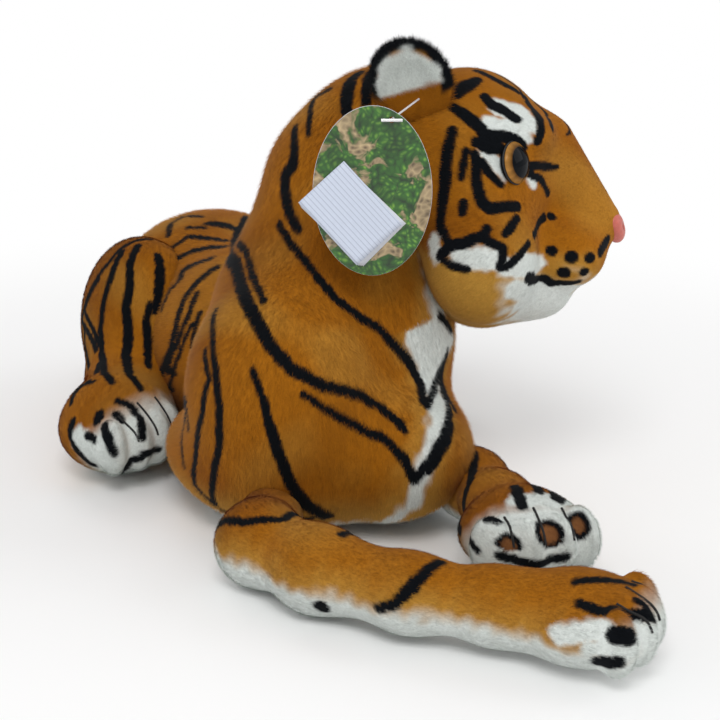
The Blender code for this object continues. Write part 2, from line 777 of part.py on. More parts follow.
def build_washer(name, matrix, head):
    """A locking washer on a stem just under the head's cloth, in a room of its own."""
    top = -SKIN_THICKNESS - FIT_GAP
    low = top - WASHER_THICKNESS
    inner = STEM_DIAMETER / 2 + FIT_GAP
    outer = WASHER_DIAMETER / 2
    ring = ((inner, top), (outer, top), (outer, low), (inner, low), (inner, top))
    wide = outer + FIT_GAP
    deep = low - FIT_GAP
    room = ((0, -SKIN_THICKNESS), (wide, -SKIN_THICKNESS), (wide, deep), (0, deep))
    boolean(head, new_object(name + "_room", turned_mesh(name + "_room", room, WASHER_SIDES), matrix, cutter=True))
    return new_object(name, turned_mesh(name, ring, WASHER_SIDES), matrix, "plastic")


def build_eye(form, side, head):
    """One eye with its pupil and washer, let into the head."""
    tag = "left" if side > 0 else "right"
    aim = scaled(EYE_AIM_SHARES, HEAD_SIZES)
    aim[0] *= side
    x, y, z = EYE_FACING_SHARES
    facing = Vector((side * x, y, z)).normalized()
    point = surface_hits(form, aim, [facing])[0]
    matrix = form.matrix @ frame_at(point - facing * EYE_DIAMETER * EYE_SINK_SHARE, facing)
    eye = new_object("eye_" + tag, turned_mesh("eye", eye_profile(0.0)), matrix, "amber")
    boolean(head, new_object("eye_room_" + tag, turned_mesh("eye_room", eye_profile(FIT_GAP)), matrix, cutter=True))
    pupil_profile, recess_profile = pupil_profiles()
    pupil = new_object("pupil_" + tag, turned_mesh("pupil", pupil_profile), matrix, "pupil")
    boolean(eye, new_object("recess_" + tag, turned_mesh("recess", recess_profile), matrix, cutter=True))
    return [eye, pupil, build_washer("eye_washer_" + tag, matrix, head)]


def nose_mesh(name, grow):
    """A rounded triangle, wide above and narrow below."""
    bm = bmesh.new()
    bmesh.ops.create_uvsphere(bm, u_segments=NOSE_SIDES, v_segments=NOSE_RINGS, radius=1.0)
    for vert in bm.verts:
        narrow = 1.0 - NOSE_TAPER_SHARE * (1.0 - vert.co.y) / 2
        vert.co.x *= narrow * (NOSE_WIDTH / 2 + grow)
        vert.co.y *= NOSE_HEIGHT / 2 + grow
        vert.co.z *= NOSE_DEPTH / 2 + grow
    mesh = bpy.data.meshes.new(name)
    bm.to_mesh(mesh)
    bm.free()
    return mesh


def build_nose(form, head):
    """The nose with its stem and washer, let into the end of the muzzle."""
    aim = Vector(scaled(NOSE_AIM_SHARES, HEAD_SIZES))
    facing = Vector(NOSE_FACING_SHARES).normalized()
    point = surface_hits(form, aim, [facing])[0]
    matrix = form.matrix @ frame_at(point - facing * NOSE_DEPTH * NOSE_SINK_SHARE, facing)
    nose = new_object("nose", nose_mesh("nose", 0.0), matrix, "pink")
    room = new_object("nose_room", nose_mesh("nose_room", FIT_GAP), matrix, cutter=True)
    for piece, grow in ((nose, 0.0), (room, FIT_GAP)):
        radius = STEM_DIAMETER / 2 + grow
        low = -STEM_LENGTH - grow
        rod = turned_mesh("nose_stem", ((0, 0), (radius, 0), (radius, low), (0, low)), WASHER_SIDES)
        boolean(piece, new_object(piece.name + "_stem", rod, matrix, cutter=True), "UNION")
    boolean(head, room)
    return [nose, build_washer("nose_washer", matrix, head)]


def build_head(form, torso_room):
    """The stuffed head with the eyes and the nose. It turns about the neck's axis."""
    angles = (-HEAD_TURN_LIMIT, HEAD_TURN_LIMIT)
    head = soft_limb(form, "head", torso_room, neck_pivot(), (0, 0, 1), angles)
    pieces = [head]
    for side in (1, -1):
        pieces += build_eye(form, side, head)
    pieces += build_nose(form, head)
    for piece in pieces:
        set_origin(piece, neck_pivot())


def ear_form(head, side):
    """A flattened ball on the head, its own X along its base, its Y out of the lining and its Z up."""
    x, y, z = scaled(EAR_BASE_SHARES, HEAD_SIZES)
    lean_x, lean_y, lean_z = EAR_LEAN_SHARES
    up = Vector((side * lean_x, lean_y, lean_z)).normalized()
    point = surface_hits(head, Vector((side * x, y, z)), [up])[0]
    along = Vector(EAR_ALONG_SHARES)
    along.x *= side
    out = (up.cross(along) * side).normalized()
    along = out.cross(up).normalized()
    frame = Matrix.Translation(point) @ Matrix((along, out, up)).transposed().to_4x4()
    middle = EAR_HEIGHT * EAR_MIDDLE_SHARE
    ball = ((0.0, 0.0, middle), (EAR_WIDTH / 2, EAR_THICKNESS / 2, EAR_HEIGHT - middle))
    reach = EAR_WIDTH * EAR_SPINE_SHARE
    spine = ((-reach, 0.0, middle), (reach, 0.0, middle))
    return Form(head.matrix @ frame, [ball], [], FIT_GAP, spine, EAR_SIDES, EAR_RINGS)


def build_ear(ear, tag, head_room, torso_room):
    """The ear's back and its lining, sewn together. It folds along its base."""
    pivot = ear.matrix.to_translation()
    axis = ear.matrix.to_3x3() @ Vector((1, 0, 0))
    back = ear.object("ear_back_" + tag, finish="orange")
    cut_clear(back, head_room, pivot, axis, (-EAR_LIMIT, EAR_LIMIT))
    rest = torso_room.matrix_world.copy()
    for turn in (-HEAD_TURN_LIMIT, 0.0, HEAD_TURN_LIMIT):
        torso_room.matrix_world = turned(rest, neck_pivot(), (0, 0, 1), -turn)
        cut_clear(back, torso_room, pivot, axis, (-EAR_LIMIT, EAR_LIMIT))
    torso_room.matrix_world = rest
    reach = EAR_HEIGHT + EAR_WIDTH
    seam = EAR_THICKNESS * EAR_SEAM_SHARE
    lining = split(back, "ear_lining_" + tag, (-reach, seam, -reach), (reach, reach, reach), ear.matrix)
    for piece in (back, lining):
        set_origin(piece, pivot)


def tube_mesh(name, runs, diameter):
    """Tubes along runs of points, with their caps welded on."""
    curve = bpy.data.curves.new(name, "CURVE")
    curve.dimensions = "3D"
    curve.bevel_depth = diameter / 2
    curve.bevel_resolution = 1
    curve.use_fill_caps = True
    for points in runs:
        spline = curve.splines.new("POLY")
        spline.points.add(len(points) - 1)
        for spot, point in zip(spline.points, points):
            spot.co = (*point, 1.0)
    tube = bpy.data.objects.new(name, curve)
    bpy.data.collections[CUTTERS].objects.link(tube)
    bpy.context.view_layer.update()
    mesh = bpy.data.meshes.new_from_object(tube.evaluated_get(bpy.context.evaluated_depsgraph_get()))
    bpy.data.objects.remove(tube)
    bm = bmesh.new()
    bm.from_mesh(mesh)
    bmesh.ops.remove_doubles(bm, verts=bm.verts, dist=WELD_DISTANCE)
    bmesh.ops.recalc_face_normals(bm, faces=bm.faces)
    bm.to_mesh(mesh)
    bm.free()
    return mesh


def lengthened(run, more):
    """A run of points with both ends moved out along it."""
    first = run[0] + (run[0] - run[1]).normalized() * more
    last = run[-1] + (run[-1] - run[-2]).normalized() * more
    return [first, *run[1:-1], last]


def build_stitches(name, form, leg, place, turn, torso_room):
    """Three threads that pull a paw's toes apart, half sunk in the grooves between them."""
    spin = Matrix.Rotation(turn, 3, "Z")
    middle = Vector(place)
    threads = []
    for left, right, spot in zip(TOE_SPREAD_SHARES, TOE_SPREAD_SHARES[1:], ("right", "middle", "left")):
        base = middle + spin @ Vector(((left + right) / 2 * PAW_WIDTH, -PAW_LENGTH * STITCH_BASE_SHARE, 0))
        directions = []
        for step in range(STITCH_POINTS):
            rise = STITCH_LOW + (STITCH_HIGH - STITCH_LOW) * step / (STITCH_POINTS - 1)
            directions.append(spin @ Vector((0, -math.cos(rise), math.sin(rise))))
        run = surface_hits(form, base, directions)
        own = f"toe_stitch_{name}_{spot}"
        groove = tube_mesh(own + "_groove", [lengthened(run, FIT_GAP)], THREAD_DIAMETER + 2 * FIT_GAP)
        boolean(leg, new_object(own + "_groove", groove, form.matrix, cutter=True), solver=FORM_SOLVER)
        thread = new_object(own, tube_mesh(own, [run], THREAD_DIAMETER), form.matrix, "black")
        boolean(thread, torso_room, solver=FORM_SOLVER)
        drop_offcuts(thread)
        threads.append(thread)
    return threads


def build_foreleg(form, side, tag, torso_room):
    """The foreleg with its white underside and its toe stitches. It swings outwards."""
    pivot = form.matrix @ Vector(form.spine[0])
    leg = soft_limb(form, "foreleg_" + tag, torso_room, pivot, (0, 0, 1), (-side * FORELEG_SWING,))
    inward, forward = FORELEG_PAW_SHARES
    place = (side * inward * FORELEG_REACH, -forward * FORELEG_REACH, PAW_HEIGHT / 2)
    threads = build_stitches("fore_" + tag, form, leg, place, side * FORELEG_PAW_TURN, torso_room)
    reach = FORELEG_REACH + PAW_LENGTH + CUT_OVERRUN
    seam = PAW_HEIGHT * FORELEG_SEAM_SHARE
    sole = add_panel(leg, form, "foreleg_underside_" + tag, (-reach, -reach, -reach), (reach, reach, seam))
    for piece in (leg, sole, *threads):
        set_origin(piece, pivot)


def build_hindleg(form, side, tag, torso_room):
    """The hind leg with its toe stitches. It lifts about the hip."""
    pivot = form.matrix @ Vector((0, 0, THIGH_HEIGHT / 2))
    leg = soft_limb(form, "hindleg_" + tag, torso_room, pivot, (1, 0, 0), (-HINDLEG_LIFT,))
    out, ahead = scaled(HINDLEG_PAW_SHARES, hindleg_sizes(side))
    place = (side * out, ahead, PAW_HEIGHT / 2)
    threads = build_stitches("hind_" + tag, form, leg, place, side * HINDLEG_PAW_TURN, torso_room)
    for piece in (leg, *threads):
        set_origin(piece, pivot)


def build_tail(form, torso_room):
    """The stuffed tail. It swings outwards along the ground."""
    pivot = form.matrix.to_translation()
    set_origin(soft_limb(form, "tail", torso_room, pivot, (0, 0, 1), (TAIL_SWING,)), pivot)


def card_frame(torso, head, ear):
    """Where the card hangs: moved out until it is clear of the neck, also when the head turns and the ear folds."""
    centre = Vector(scaled(CARD_CENTRE_SHARES, TORSO_SIZES))
    facing = Vector((math.sin(CARD_FACING), -math.cos(CARD_FACING), 0.0))
    frame = frame_at(centre, facing)
    spots = [frame.to_translation()]
    for step in range(ROUND_SIDES):
        angle = 2 * math.pi * step / ROUND_SIDES
        for share in (0.5, 1.0):
            across = share * CARD_WIDTH / 2 * math.cos(angle)
            spots.append(frame @ Vector((across, share * CARD_HEIGHT / 2 * math.sin(angle), 0)))
    base, axis = ear.matrix.to_translation(), ear.matrix.to_3x3() @ Vector((1, 0, 0))
    to_torso, to_head = torso.matrix.inverted(), head.matrix.inverted()
    reach = 0.0
    for _ in range(MARCH_STEPS):
        short = -CARD_HEIGHT
        for fold in (-EAR_LIMIT, 0.0, EAR_LIMIT):
            folded = [turned(Matrix(), base, axis, fold) @ (spot + facing * reach) for spot in spots]
            wanted = CARD_SWING_GAP if fold else CARD_STAND_OFF
            short = max(short, wanted - float(head.distance(np.array([to_head @ spot for spot in folded])).min()))
            for turn in (-HEAD_TURN_LIMIT, 0.0, HEAD_TURN_LIMIT):
                spin = to_torso @ turned(Matrix(), neck_pivot(), (0, 0, 1), turn)
                wanted = CARD_SWING_GAP if fold or turn else CARD_STAND_OFF
                short = max(short, wanted - float(torso.distance(np.array([spin @ spot for spot in folded])).min()))
        reach += MARCH_SHARE * short
    return Matrix.Translation(facing * reach) @ frame


def build_tag(torso, head, ear):
    """The oval card with its paper label, on a pin through the card's hole that hangs from the ear."""
    frame = card_frame(torso, head, ear)
    bm = bmesh.new()
    bmesh.ops.create_cone(bm, cap_ends=True, segments=CARD_SIDES, radius1=0.5, radius2=0.5, depth=CARD_THICKNESS)
    bmesh.ops.scale(bm, vec=(CARD_WIDTH, CARD_HEIGHT, 1.0), verts=bm.verts)
    mesh = bpy.data.meshes.new("hang_tag_card")
    bm.to_mesh(mesh)
    bm.free()
    card = new_object("hang_tag_card", mesh, frame, "card")
    hole = frame @ Matrix.Translation((CARD_HOLE_SIDE_SHARE * CARD_WIDTH, CARD_HOLE_SHARE * CARD_HEIGHT, 0))
    deep = CUT_OVERRUN
    profile = ((0, deep), (CARD_HOLE_RADIUS, deep), (CARD_HOLE_RADIUS, -deep), (0, -deep))
    boolean(card, new_object("card_hole", turned_mesh("card_hole", profile, WASHER_SIDES), hole, cutter=True))
    label_x, label_y = scaled(LABEL_CENTRE_SHARES, (CARD_WIDTH, CARD_HEIGHT))
    low = CARD_THICKNESS / 2 + FIT_GAP
    half_width, half_height = LABEL_WIDTH / 2, LABEL_HEIGHT / 2
    label = box_mesh(
        "paper_label", (-half_width, -half_height, low), (half_width, half_height, low + LABEL_THICKNESS)
    )
    slant = Matrix.Translation((label_x, label_y, 0)) @ Matrix.Rotation(LABEL_SLANT, 4, "Z")
    label = new_object("paper_label", label, frame @ slant, "paper")
    spot_x, spot_z = scaled(PIN_EAR_SHARES, (EAR_WIDTH, EAR_HEIGHT))
    spot = surface_hits(ear, Vector((spot_x, 0, spot_z)), [Vector((0, 1, 0))])[0]
    pivot = ear.matrix @ (spot + Vector((0, PIN_DIAMETER / 2 + FIT_GAP, 0)))
    bar_height = CARD_THICKNESS / 2 + FIT_GAP + PIN_BAR_DIAMETER / 2
    bar = (hole @ Vector((-PIN_BAR_LENGTH / 2, 0, bar_height)), hole @ Vector((PIN_BAR_LENGTH / 2, 0, bar_height)))
    behind = hole @ Vector((0, 0, -CARD_THICKNESS / 2 - PIN_DIAMETER))
    pin = new_object("tag_pin", tube_mesh("tag_pin", [bar], PIN_BAR_DIAMETER), finish="plastic")
    filament = tube_mesh("filament", [[hole @ Vector((0, 0, bar_height)), behind, pivot]], PIN_DIAMETER)
    boolean(pin, new_object("filament", filament, cutter=True), "UNION")
    for piece in (card, label, pin):
        set_origin(piece, pivot)


def main():
    clear_scene()
    reach = TORSO_LENGTH * 2
    box_cutter("ground", (-reach, -reach, -reach), (reach, reach, 0))
    torso_shape = torso_form()
    build_torso(torso_shape)
    torso_room = torso_shape.object("torso_room", SWING_GAP, cutter=True)
    head_shape = head_form()
    build_head(head_shape, torso_room)
    head_room = head_shape.object("head_room", FIT_GAP, cutter=True)
    for side, tag in ((1, "left"), (-1, "right")):
        ear = ear_form(head_shape, side)
        build_ear(ear, tag, head_room, torso_room)
        build_hindleg(hindleg_form(side), side, tag, torso_room)
    build_tag(torso_shape, head_shape, ear)
    right = foreleg_form(
        1, SHOULDER_RIGHT_SHARES, SHOULDER_HEADING_RIGHT, SHOULDER_PITCH_RIGHT, FORELEG_ROOT_RIGHT_SHARES
    )
    build_foreleg(right, 1, "right", torso_room)
    left = foreleg_form(-1, SHOULDER_LEFT_SHARES, SHOULDER_HEADING_LEFT, SHOULDER_PITCH_LEFT)
    build_foreleg(left, -1, "left", torso_room)
    build_tail(tail_form(), torso_room)
    for obj in bpy.data.collections[COLLECTION].objects:
        make_triangles(obj)


main()
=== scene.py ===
"""Looks of the plush tiger: stuffed skins with a short pile, printed stripes, glass-like eyes and a hang tag.

Each skin is a smooth blend of balls and tapered rods. The stripes are lines drawn over the photograph and
carried along its own rays onto the skins. The head's far side mirrors them, and the other hidden sides have
bands of their own.
"""

import math

import bmesh
import bpy
import numpy as np
from mathutils import Matrix, Vector, kdtree
from mathutils.bvhtree import BVHTree


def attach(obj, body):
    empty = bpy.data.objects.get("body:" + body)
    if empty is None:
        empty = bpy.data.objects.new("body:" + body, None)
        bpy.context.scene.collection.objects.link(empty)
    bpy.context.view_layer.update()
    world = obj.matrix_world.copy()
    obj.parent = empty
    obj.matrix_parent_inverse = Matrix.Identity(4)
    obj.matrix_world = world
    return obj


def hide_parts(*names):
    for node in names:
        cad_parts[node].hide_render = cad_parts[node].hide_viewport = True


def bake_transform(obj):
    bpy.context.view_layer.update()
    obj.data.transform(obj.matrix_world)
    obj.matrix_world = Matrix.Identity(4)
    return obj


# The photograph's camera
IMAGE_SIZE = 720
CAMERA_DISTANCE = 0.90
CAMERA_TILT = math.radians(16)
CAMERA_AZIMUTH = math.radians(-33)
CAMERA_AIM = (-0.0461, -0.1678, 0.100)
PIXEL = 0.00048
SENSOR = 36.0

# Sizes of the CAD model, in metres
TORSO_SIZES = (0.160, 0.300, 0.200)
HEAD_SIZES = (0.110, 0.118, 0.124)
HEAD_TURN = math.radians(57)
HEAD_ROLL = math.radians(7)
EAR_WIDTH, EAR_HEIGHT, EAR_THICKNESS = 0.043, 0.044, 0.009
EYE_DIAMETER, EYE_HEIGHT = 0.0210, 0.0052
NOSE_WIDTH, NOSE_HEIGHT, NOSE_DEPTH = 0.0200, 0.0140, 0.0085
FORELEG_REACH, FORELEG_THICKNESS = 0.151, 0.045
THIGH_LENGTH, THIGH_HEIGHT, THIGH_THICKNESS = 0.094, 0.110, 0.072
PAW_WIDTH, PAW_LENGTH, PAW_HEIGHT = 0.060, 0.064, 0.041
TAIL_LENGTH, TAIL_THICKNESS = 0.170, 0.027
CARD_WIDTH, CARD_HEIGHT, CARD_THICKNESS, CARD_HOLE = 0.0560, 0.0810, 0.0008, 0.0016
LABEL_WIDTH, LABEL_HEIGHT = 0.0290, 0.0410
LABEL_SLANT = math.radians(44)
THREAD_DIAMETER = 0.0012

# Meshing and pile
VOXEL = 0.0016
HEAD_VOXEL = 0.0012
EAR_VOXEL = 0.0010
LOW_SPOT, HIGH_SPOT = 0.3, 0.8
# Painted shade at each blade's root and a painted highlight at its tip, as factors on the blade's colour
ROOT_SHADE, TIP_LIGHT = 0.95, 1.07
# Pile, as (blades per square metre, length, width, lift)
TORSO_PILE = (1.10e6, 0.0043, 0.00042, 0.30)
LEG_PILE = (1.9e6, 0.0040, 0.00036, 0.15)
EAR_PILE = (3.4e6, 0.0036, 0.0003, 0.45)
HEAD_PILE_DENSITY, HEAD_PILE_WIDTH, HEAD_PILE_LIFT = 2.2e6, 0.00032, 0.20
# The height of each leg's and the tail's own frame, so that they rest on the ground
FORELEG_RIGHT_RISE, FORELEG_LEFT_RISE = 0.001275, -0.00155
HINDLEG_RIGHT_RISE, HINDLEG_LEFT_RISE = 0.00685, 0.00739
TAIL_RISE = 0.00172
# Heights below which a leg is white, and how far over its paw the orange comes
HINDLEG_SEAM, FORELEG_RIGHT_SEAM, FORELEG_LEFT_SEAM = 0.008, 0.0195, 0.0165
HINDLEG_ORANGE, FORELEG_RIGHT_ORANGE, FORELEG_LEFT_ORANGE = 0.10, 0.34, 0.05
EYE_RIM_RADIUS = 0.0005
PUPIL_LIFT, NOSE_LIFT = 0.0006, 0.0010
FLOOR_FADE = (0.26, 0.62)
REST_HEIGHT = 0.0004
STEP = 0.0002
INSET = 0.0012
STRIPE_EXTRA = 0.0013
SEEN_DEPTH = 0.004
BRIDGE = 0.0045
TINY = 1e-9

# Balls are (centre, half size) and rods (end, end, radius, radius), in shares of width, length and height.
TORSO_BALLS = (
    ((0.07, 0.265, 0.317), (0.400, 0.240, 0.305)),
    ((0.00, 0.000, 0.2955), (0.395, 0.300, 0.3015)),
    ((-0.07, -0.290, 0.426), (0.400, 0.215, 0.400)),
    ((-0.36, -0.385, 0.348), (0.310, 0.180, 0.321)),
    ((0.03, -0.262, 0.784), (0.290, 0.160, 0.280)),
    ((-0.09, -0.430, 0.215), (0.300, 0.210, 0.200)),
    ((-0.340, -0.302, 0.165), (0.302, 0.213, 0.158)),
)
TORSO_RODS = (((-0.07, -0.305, 0.514), (0.100, -0.312, 0.964), 0.350, 0.230),)
TORSO_BLEND = 0.018
NECK_PIVOT = (0.10, -0.325, 0.86)
HEAD_OFFSET = (-0.10, -0.40, -0.07)
HEAD_BALLS = (
    ((0.00, 0.060, 0.100), (0.440, 0.400, 0.440)),
    ((0.30, 0.010, -0.190), (0.240, 0.250, 0.300)),
    ((-0.30, 0.010, -0.190), (0.240, 0.250, 0.300)),
    ((0.00, -0.020, -0.290), (0.380, 0.280, 0.260)),
    ((0.00, -0.330, -0.210), (0.260, 0.230, 0.165)),
)
HEAD_RODS = (((0.00, -0.262, 0.193), (0.00, -0.515, -0.095), 0.184, 0.118),)
HEAD_BLEND = 0.011
HEAD_DETAILS = (
    ((0.13, -0.385, -0.235), (0.155, 0.138, 0.118)),
    ((-0.13, -0.385, -0.235), (0.155, 0.138, 0.118)),
    ((0.00, -0.245, -0.390), (0.180, 0.165, 0.125)),
    ((0.23, -0.190, 0.270), (0.130, 0.110, 0.080)),
    ((-0.23, -0.190, 0.270), (0.130, 0.110, 0.080)),
)
HEAD_DETAIL_BLEND = 0.011
EYE_FACING = (0.60, -0.78, 0.14)
NOSE_FACING = (0.0, -0.93, 0.36)
EAR_BASE = (0.300, 0.300, 0.430)
EAR_LEAN = (0.42, 0.10, 0.90)
EAR_ALONG = (0.25, -1.0, 0.0)
FORELEG_PATH = (
    (0.00, 0.00, 0.43), (0.04, 0.28, 0.43), (0.17, 0.58, 0.38), (0.33, 0.80, 0.37), (0.45, 0.95, 0.38),
)
FORELEG_ROOT = ((0.26, -0.32, 0.32),)
FORELEG_PAW = (0.49, 1.00)
FORELEG_PAW_TURN = math.radians(36)
FORELEG_BLEND = 0.012
SHOULDER_RIGHT, SHOULDER_LEFT = (-0.673, -0.586), (0.120, -0.265)
SHOULDER_HEADING_LEFT = math.radians(18)
SHOULDER_PITCH_LEFT = math.radians(3.5)
HIP = (0.335, 0.235)
HIP_MIDDLE = 0.07
HINDLEG_PATH = ((0.26, 0.27, -0.28, 0.43), (0.62, 0.60, -0.30, 0.38))
HINDLEG_PAW = (0.76, 0.765)
HINDLEG_LEFT = 0.68
HINDLEG_PAW_TURN = math.radians(-20)
HINDLEG_BLEND = 0.022
TOE_SPREADS = (-0.345, -0.120, 0.120, 0.345)
TOE_REACHES = (0.26, 0.34, 0.34, 0.26)
TOE_HALF = (0.150, 0.200, 0.400)
TOE_BLEND = 0.003
TAIL_ROOT = (0.09, 0.500, 0.160)
TAIL_PATH = (
    (0.00, 0.00, 1.00), (0.17, 0.17, 0.36), (0.40, 0.24, 0.00), (0.66, 0.15, 0.00), (0.83, -0.08, 0.00),
    (0.87, -0.36, 0.00),
)
TAIL_RADII = (0.56, 0.50, 0.50, 0.50, 0.50, 0.46)
TAIL_BLEND = 0.010

# Colours as they look on a screen
ORANGE = (158, 97, 18)
DEEP_ORANGE = (122, 66, 11)
TAN = (186, 142, 62)
WHITE = (214, 219, 215)
BLACK = (12, 15, 19)
SKIN_BROWN = (128, 84, 50)
IRIS = (158, 112, 54)
IRIS_DARK = (66, 40, 15)
NOSE_PINK = (196, 104, 92)
# Painted shade for the nose's nostrils and middle groove
NOSE_HOLLOW_SHADE = (120, 52, 44)

# Stripes, as (width at the start, in the middle and at the end, points), all in the photograph's pixels
TORSO_STRIPES = (
    (8, 14, 5, ((248, 218), (236, 240), (236, 265), (246, 300), (256, 320), (271, 347), (291, 369),
                (322, 386), (360, 396), (380, 407), (397, 421), (404, 430))),
    (5, 5, 3, ((246, 224), (246, 251), (252, 275), (264, 302))),
    (3, 6, 8, ((279, 224), (289, 242), (305, 261), (320, 281), (336, 300), (360, 318), (380, 330), (394, 345),
               (411, 366), (420, 383), (426, 407))),
    (4, 4, 4, ((426, 407), (435, 386), (442, 366), (447, 352))),
    (3, 5, 6, ((303, 394), (326, 410), (360, 429), (384, 439), (403, 458), (414, 480))),
    (6, 5, 4, ((414, 480), (429, 462), (442, 439), (450, 411), (451, 370))),
    (4, 5, 4, ((429, 471), (444, 448), (451, 424))),
    (3, 8, 12, ((253, 371), (264, 402), (275, 443), (289, 480), (305, 504), (326, 516))),
    (5, 6, 5, ((213, 527), (244, 522), (285, 520), (311, 518))),
    (6, 5, 3, ((439, 316), (451, 331))),
    (3, 3, 2, ((456, 359), (462, 407))),
    (4, 5, 3, ((326, 85), (314, 99), (310, 115), (309, 135))),
    (9, 12, 6, ((357, 67), (350, 82), (347, 99), (347, 119))),
    (6, 8, 6, ((390, 53), (378, 63), (370, 73), (367, 86), (366, 103))),
    (5, 12, 5, ((295, 128), (295, 151), (293, 167), (285, 175), (285, 193), (289, 212), (298, 230))),
    (8, 6, 4, ((216, 268), (197, 283), (183, 302), (176, 329), (170, 354), (162, 388), (158, 410))),
    (4, 5, 3, ((197, 294), (189, 318))),
    (2, 3, 2, ((192, 325), (180, 354), (172, 381), (170, 401))),
    (4, 4, 2, ((200, 314), (192, 347), (187, 402), (183, 431), (185, 467))),
    (3, 6, 4, ((205, 351), (209, 378), (203, 412), (197, 443), (195, 484), (203, 512))),
    (4, 7, 4, ((216, 310), (213, 341), (216, 371), (220, 406), (220, 443), (213, 480), (207, 514))),
    (5, 4, 3, ((191, 310), (179, 341), (167, 371), (162, 402), (169, 431))),
    (3, 4, 3, ((168, 236), (171, 224), (184, 217), (201, 217))),
    (8, 12, 8, ((208, 224), (222, 225), (235, 229))),
    (3, 3, 3, ((188, 228), (204, 228))),
    (3, 5, 4, ((173, 248), (188, 237), (211, 239), (225, 241))),
    (5, 8, 6, ((173, 262), (191, 252), (211, 248), (225, 247))),
    (6, 9, 7, ((180, 280), (184, 270), (197, 264), (211, 259))),
    (4, 4, 4, ((162, 310), (170, 291), (181, 280))),
)
# Bands where the photograph shows nothing, as places along the body and their lean, in shares of its length
BOTH_SIDES_FROM = 0.22
BACK_BANDS = (
    (0.47, 0.04), (0.40, 0.02), (0.33, 0.03), (0.26, 0.01), (0.19, 0.03), (0.12, 0.00),
    (0.05, 0.02), (-0.03, 0.01), (-0.11, 0.03), (-0.19, 0.02), (-0.27, 0.04), (-0.35, 0.02),
)
BIB_EDGE = (
    (430, 320), (408, 332), (404, 346), (416, 368), (424, 390), (428, 412), (424, 440), (416, 470),
    (407, 498),
)
BIB_FAR_EDGE = ((446, 322), (453, 340), (451, 370), (447, 410), (438, 450), (424, 490))
HINDLEG_STRIPES = (
    (5, 6, 4, ((122, 252), (112, 275), (104, 302), (100, 329), (101, 354), (104, 373), (112, 383))),
    (5, 9, 5, ((138, 246), (130, 264), (130, 286), (126, 307), (128, 329), (126, 354), (129, 374),
               (140, 389))),
    (6, 8, 5, ((158, 256), (160, 270), (159, 288), (156, 311))),
    (4, 6, 4, ((150, 304), (146, 320), (148, 341), (149, 367))),
    (4, 5, 3, ((98, 280), (87, 302), (82, 320), (78, 342))),
    (3, 4, 3, ((85, 325), (85, 347), (89, 367))),
    (3, 4, 3, ((152, 226), (122, 248), (108, 264), (94, 284), (84, 309), (76, 334))),
    (3, 5, 4, ((67, 384), (73, 373), (82, 369))),
    (3, 5, 4, ((66, 400), (77, 389), (93, 382))),
    (6, 7, 5, ((73, 421), (70, 436))),
    (5, 7, 6, ((73, 444), (82, 456), (93, 465))),
    (6, 7, 5, ((100, 414), (97, 422))),
    (6, 8, 6, ((104, 425), (109, 441), (114, 453))),
    (5, 6, 5, ((88, 436), (94, 439))),
    (5, 6, 5, ((116, 414), (121, 421))),
    (5, 6, 5, ((118, 401), (131, 406), (140, 417), (142, 437))),
    (4, 5, 4, ((119, 473), (129, 461), (141, 458))),
    (4, 5, 4, ((144, 453), (158, 450))),
)
HINDLEG_WHITES = (
    (26, 30, 26, ((78, 440), (96, 452), (118, 446))),
    (22, 24, 22, ((90, 470), (112, 470), (134, 462))),
    (18, 20, 18, ((140, 440), (150, 428))),
)
FORELEG_RIGHT_STRIPES = (
    (4, 9, 6, ((378, 609), (395, 604), (413, 586), (440, 562))),
    (5, 5, 4, ((342, 535), (360, 531), (378, 528), (397, 533))),
    (10, 12, 10, ((321, 606), (323, 608))),
    (5, 6, 5, ((576, 582), (601, 580), (633, 584))),
    (6, 7, 6, ((580, 604), (605, 611), (642, 615), (654, 619))),
    (6, 7, 6, ((638, 600), (652, 615))),
    (11, 13, 11, ((614, 635), (630, 637))),
    (7, 8, 7, ((597, 662), (620, 662))),
    (4, 5, 4, ((213, 527), (244, 522), (285, 520), (311, 518))),
)
FORELEG_LEFT_STRIPES = (
    (6, 8, 6, ((474, 453), (470, 482), (464, 511), (460, 531))),
    (7, 8, 7, ((488, 518), (498, 520))),
    (6, 8, 6, ((515, 486), (519, 497), (523, 507))),
    (11, 13, 11, ((558, 490), (558, 500))),
    (6, 7, 6, ((533, 485), (539, 492))),
    (18, 20, 18, ((507, 545), (510, 546))),
    (23, 25, 23, ((547, 533), (550, 535))),
    (18, 20, 18, ((577, 523), (579, 528))),
    (5, 6, 5, ((500, 556), (520, 562), (545, 563), (566, 556))),
    (3, 4, 3, ((470, 540), (478, 550))),
)
FORELEG_LEFT_PADS = (
    (6, 8, 6, ((507, 545), (510, 546))),
    (10, 12, 10, ((547, 533), (550, 535))),
    (5, 7, 5, ((577, 523), (579, 528))),
)
FORELEG_LEFT_WHITES = (
    (34, 40, 34, ((500, 526), (530, 528), (560, 520))),
    (20, 24, 20, ((520, 500), (545, 500), (572, 505))),
    (18, 20, 18, ((480, 530), (492, 540))),
)
FORELEG_RIGHT_WHITES = (
    (14, 18, 14, ((560, 634), (600, 632), (640, 636))),
    (12, 14, 12, ((590, 648), (630, 650), (650, 634))),
)
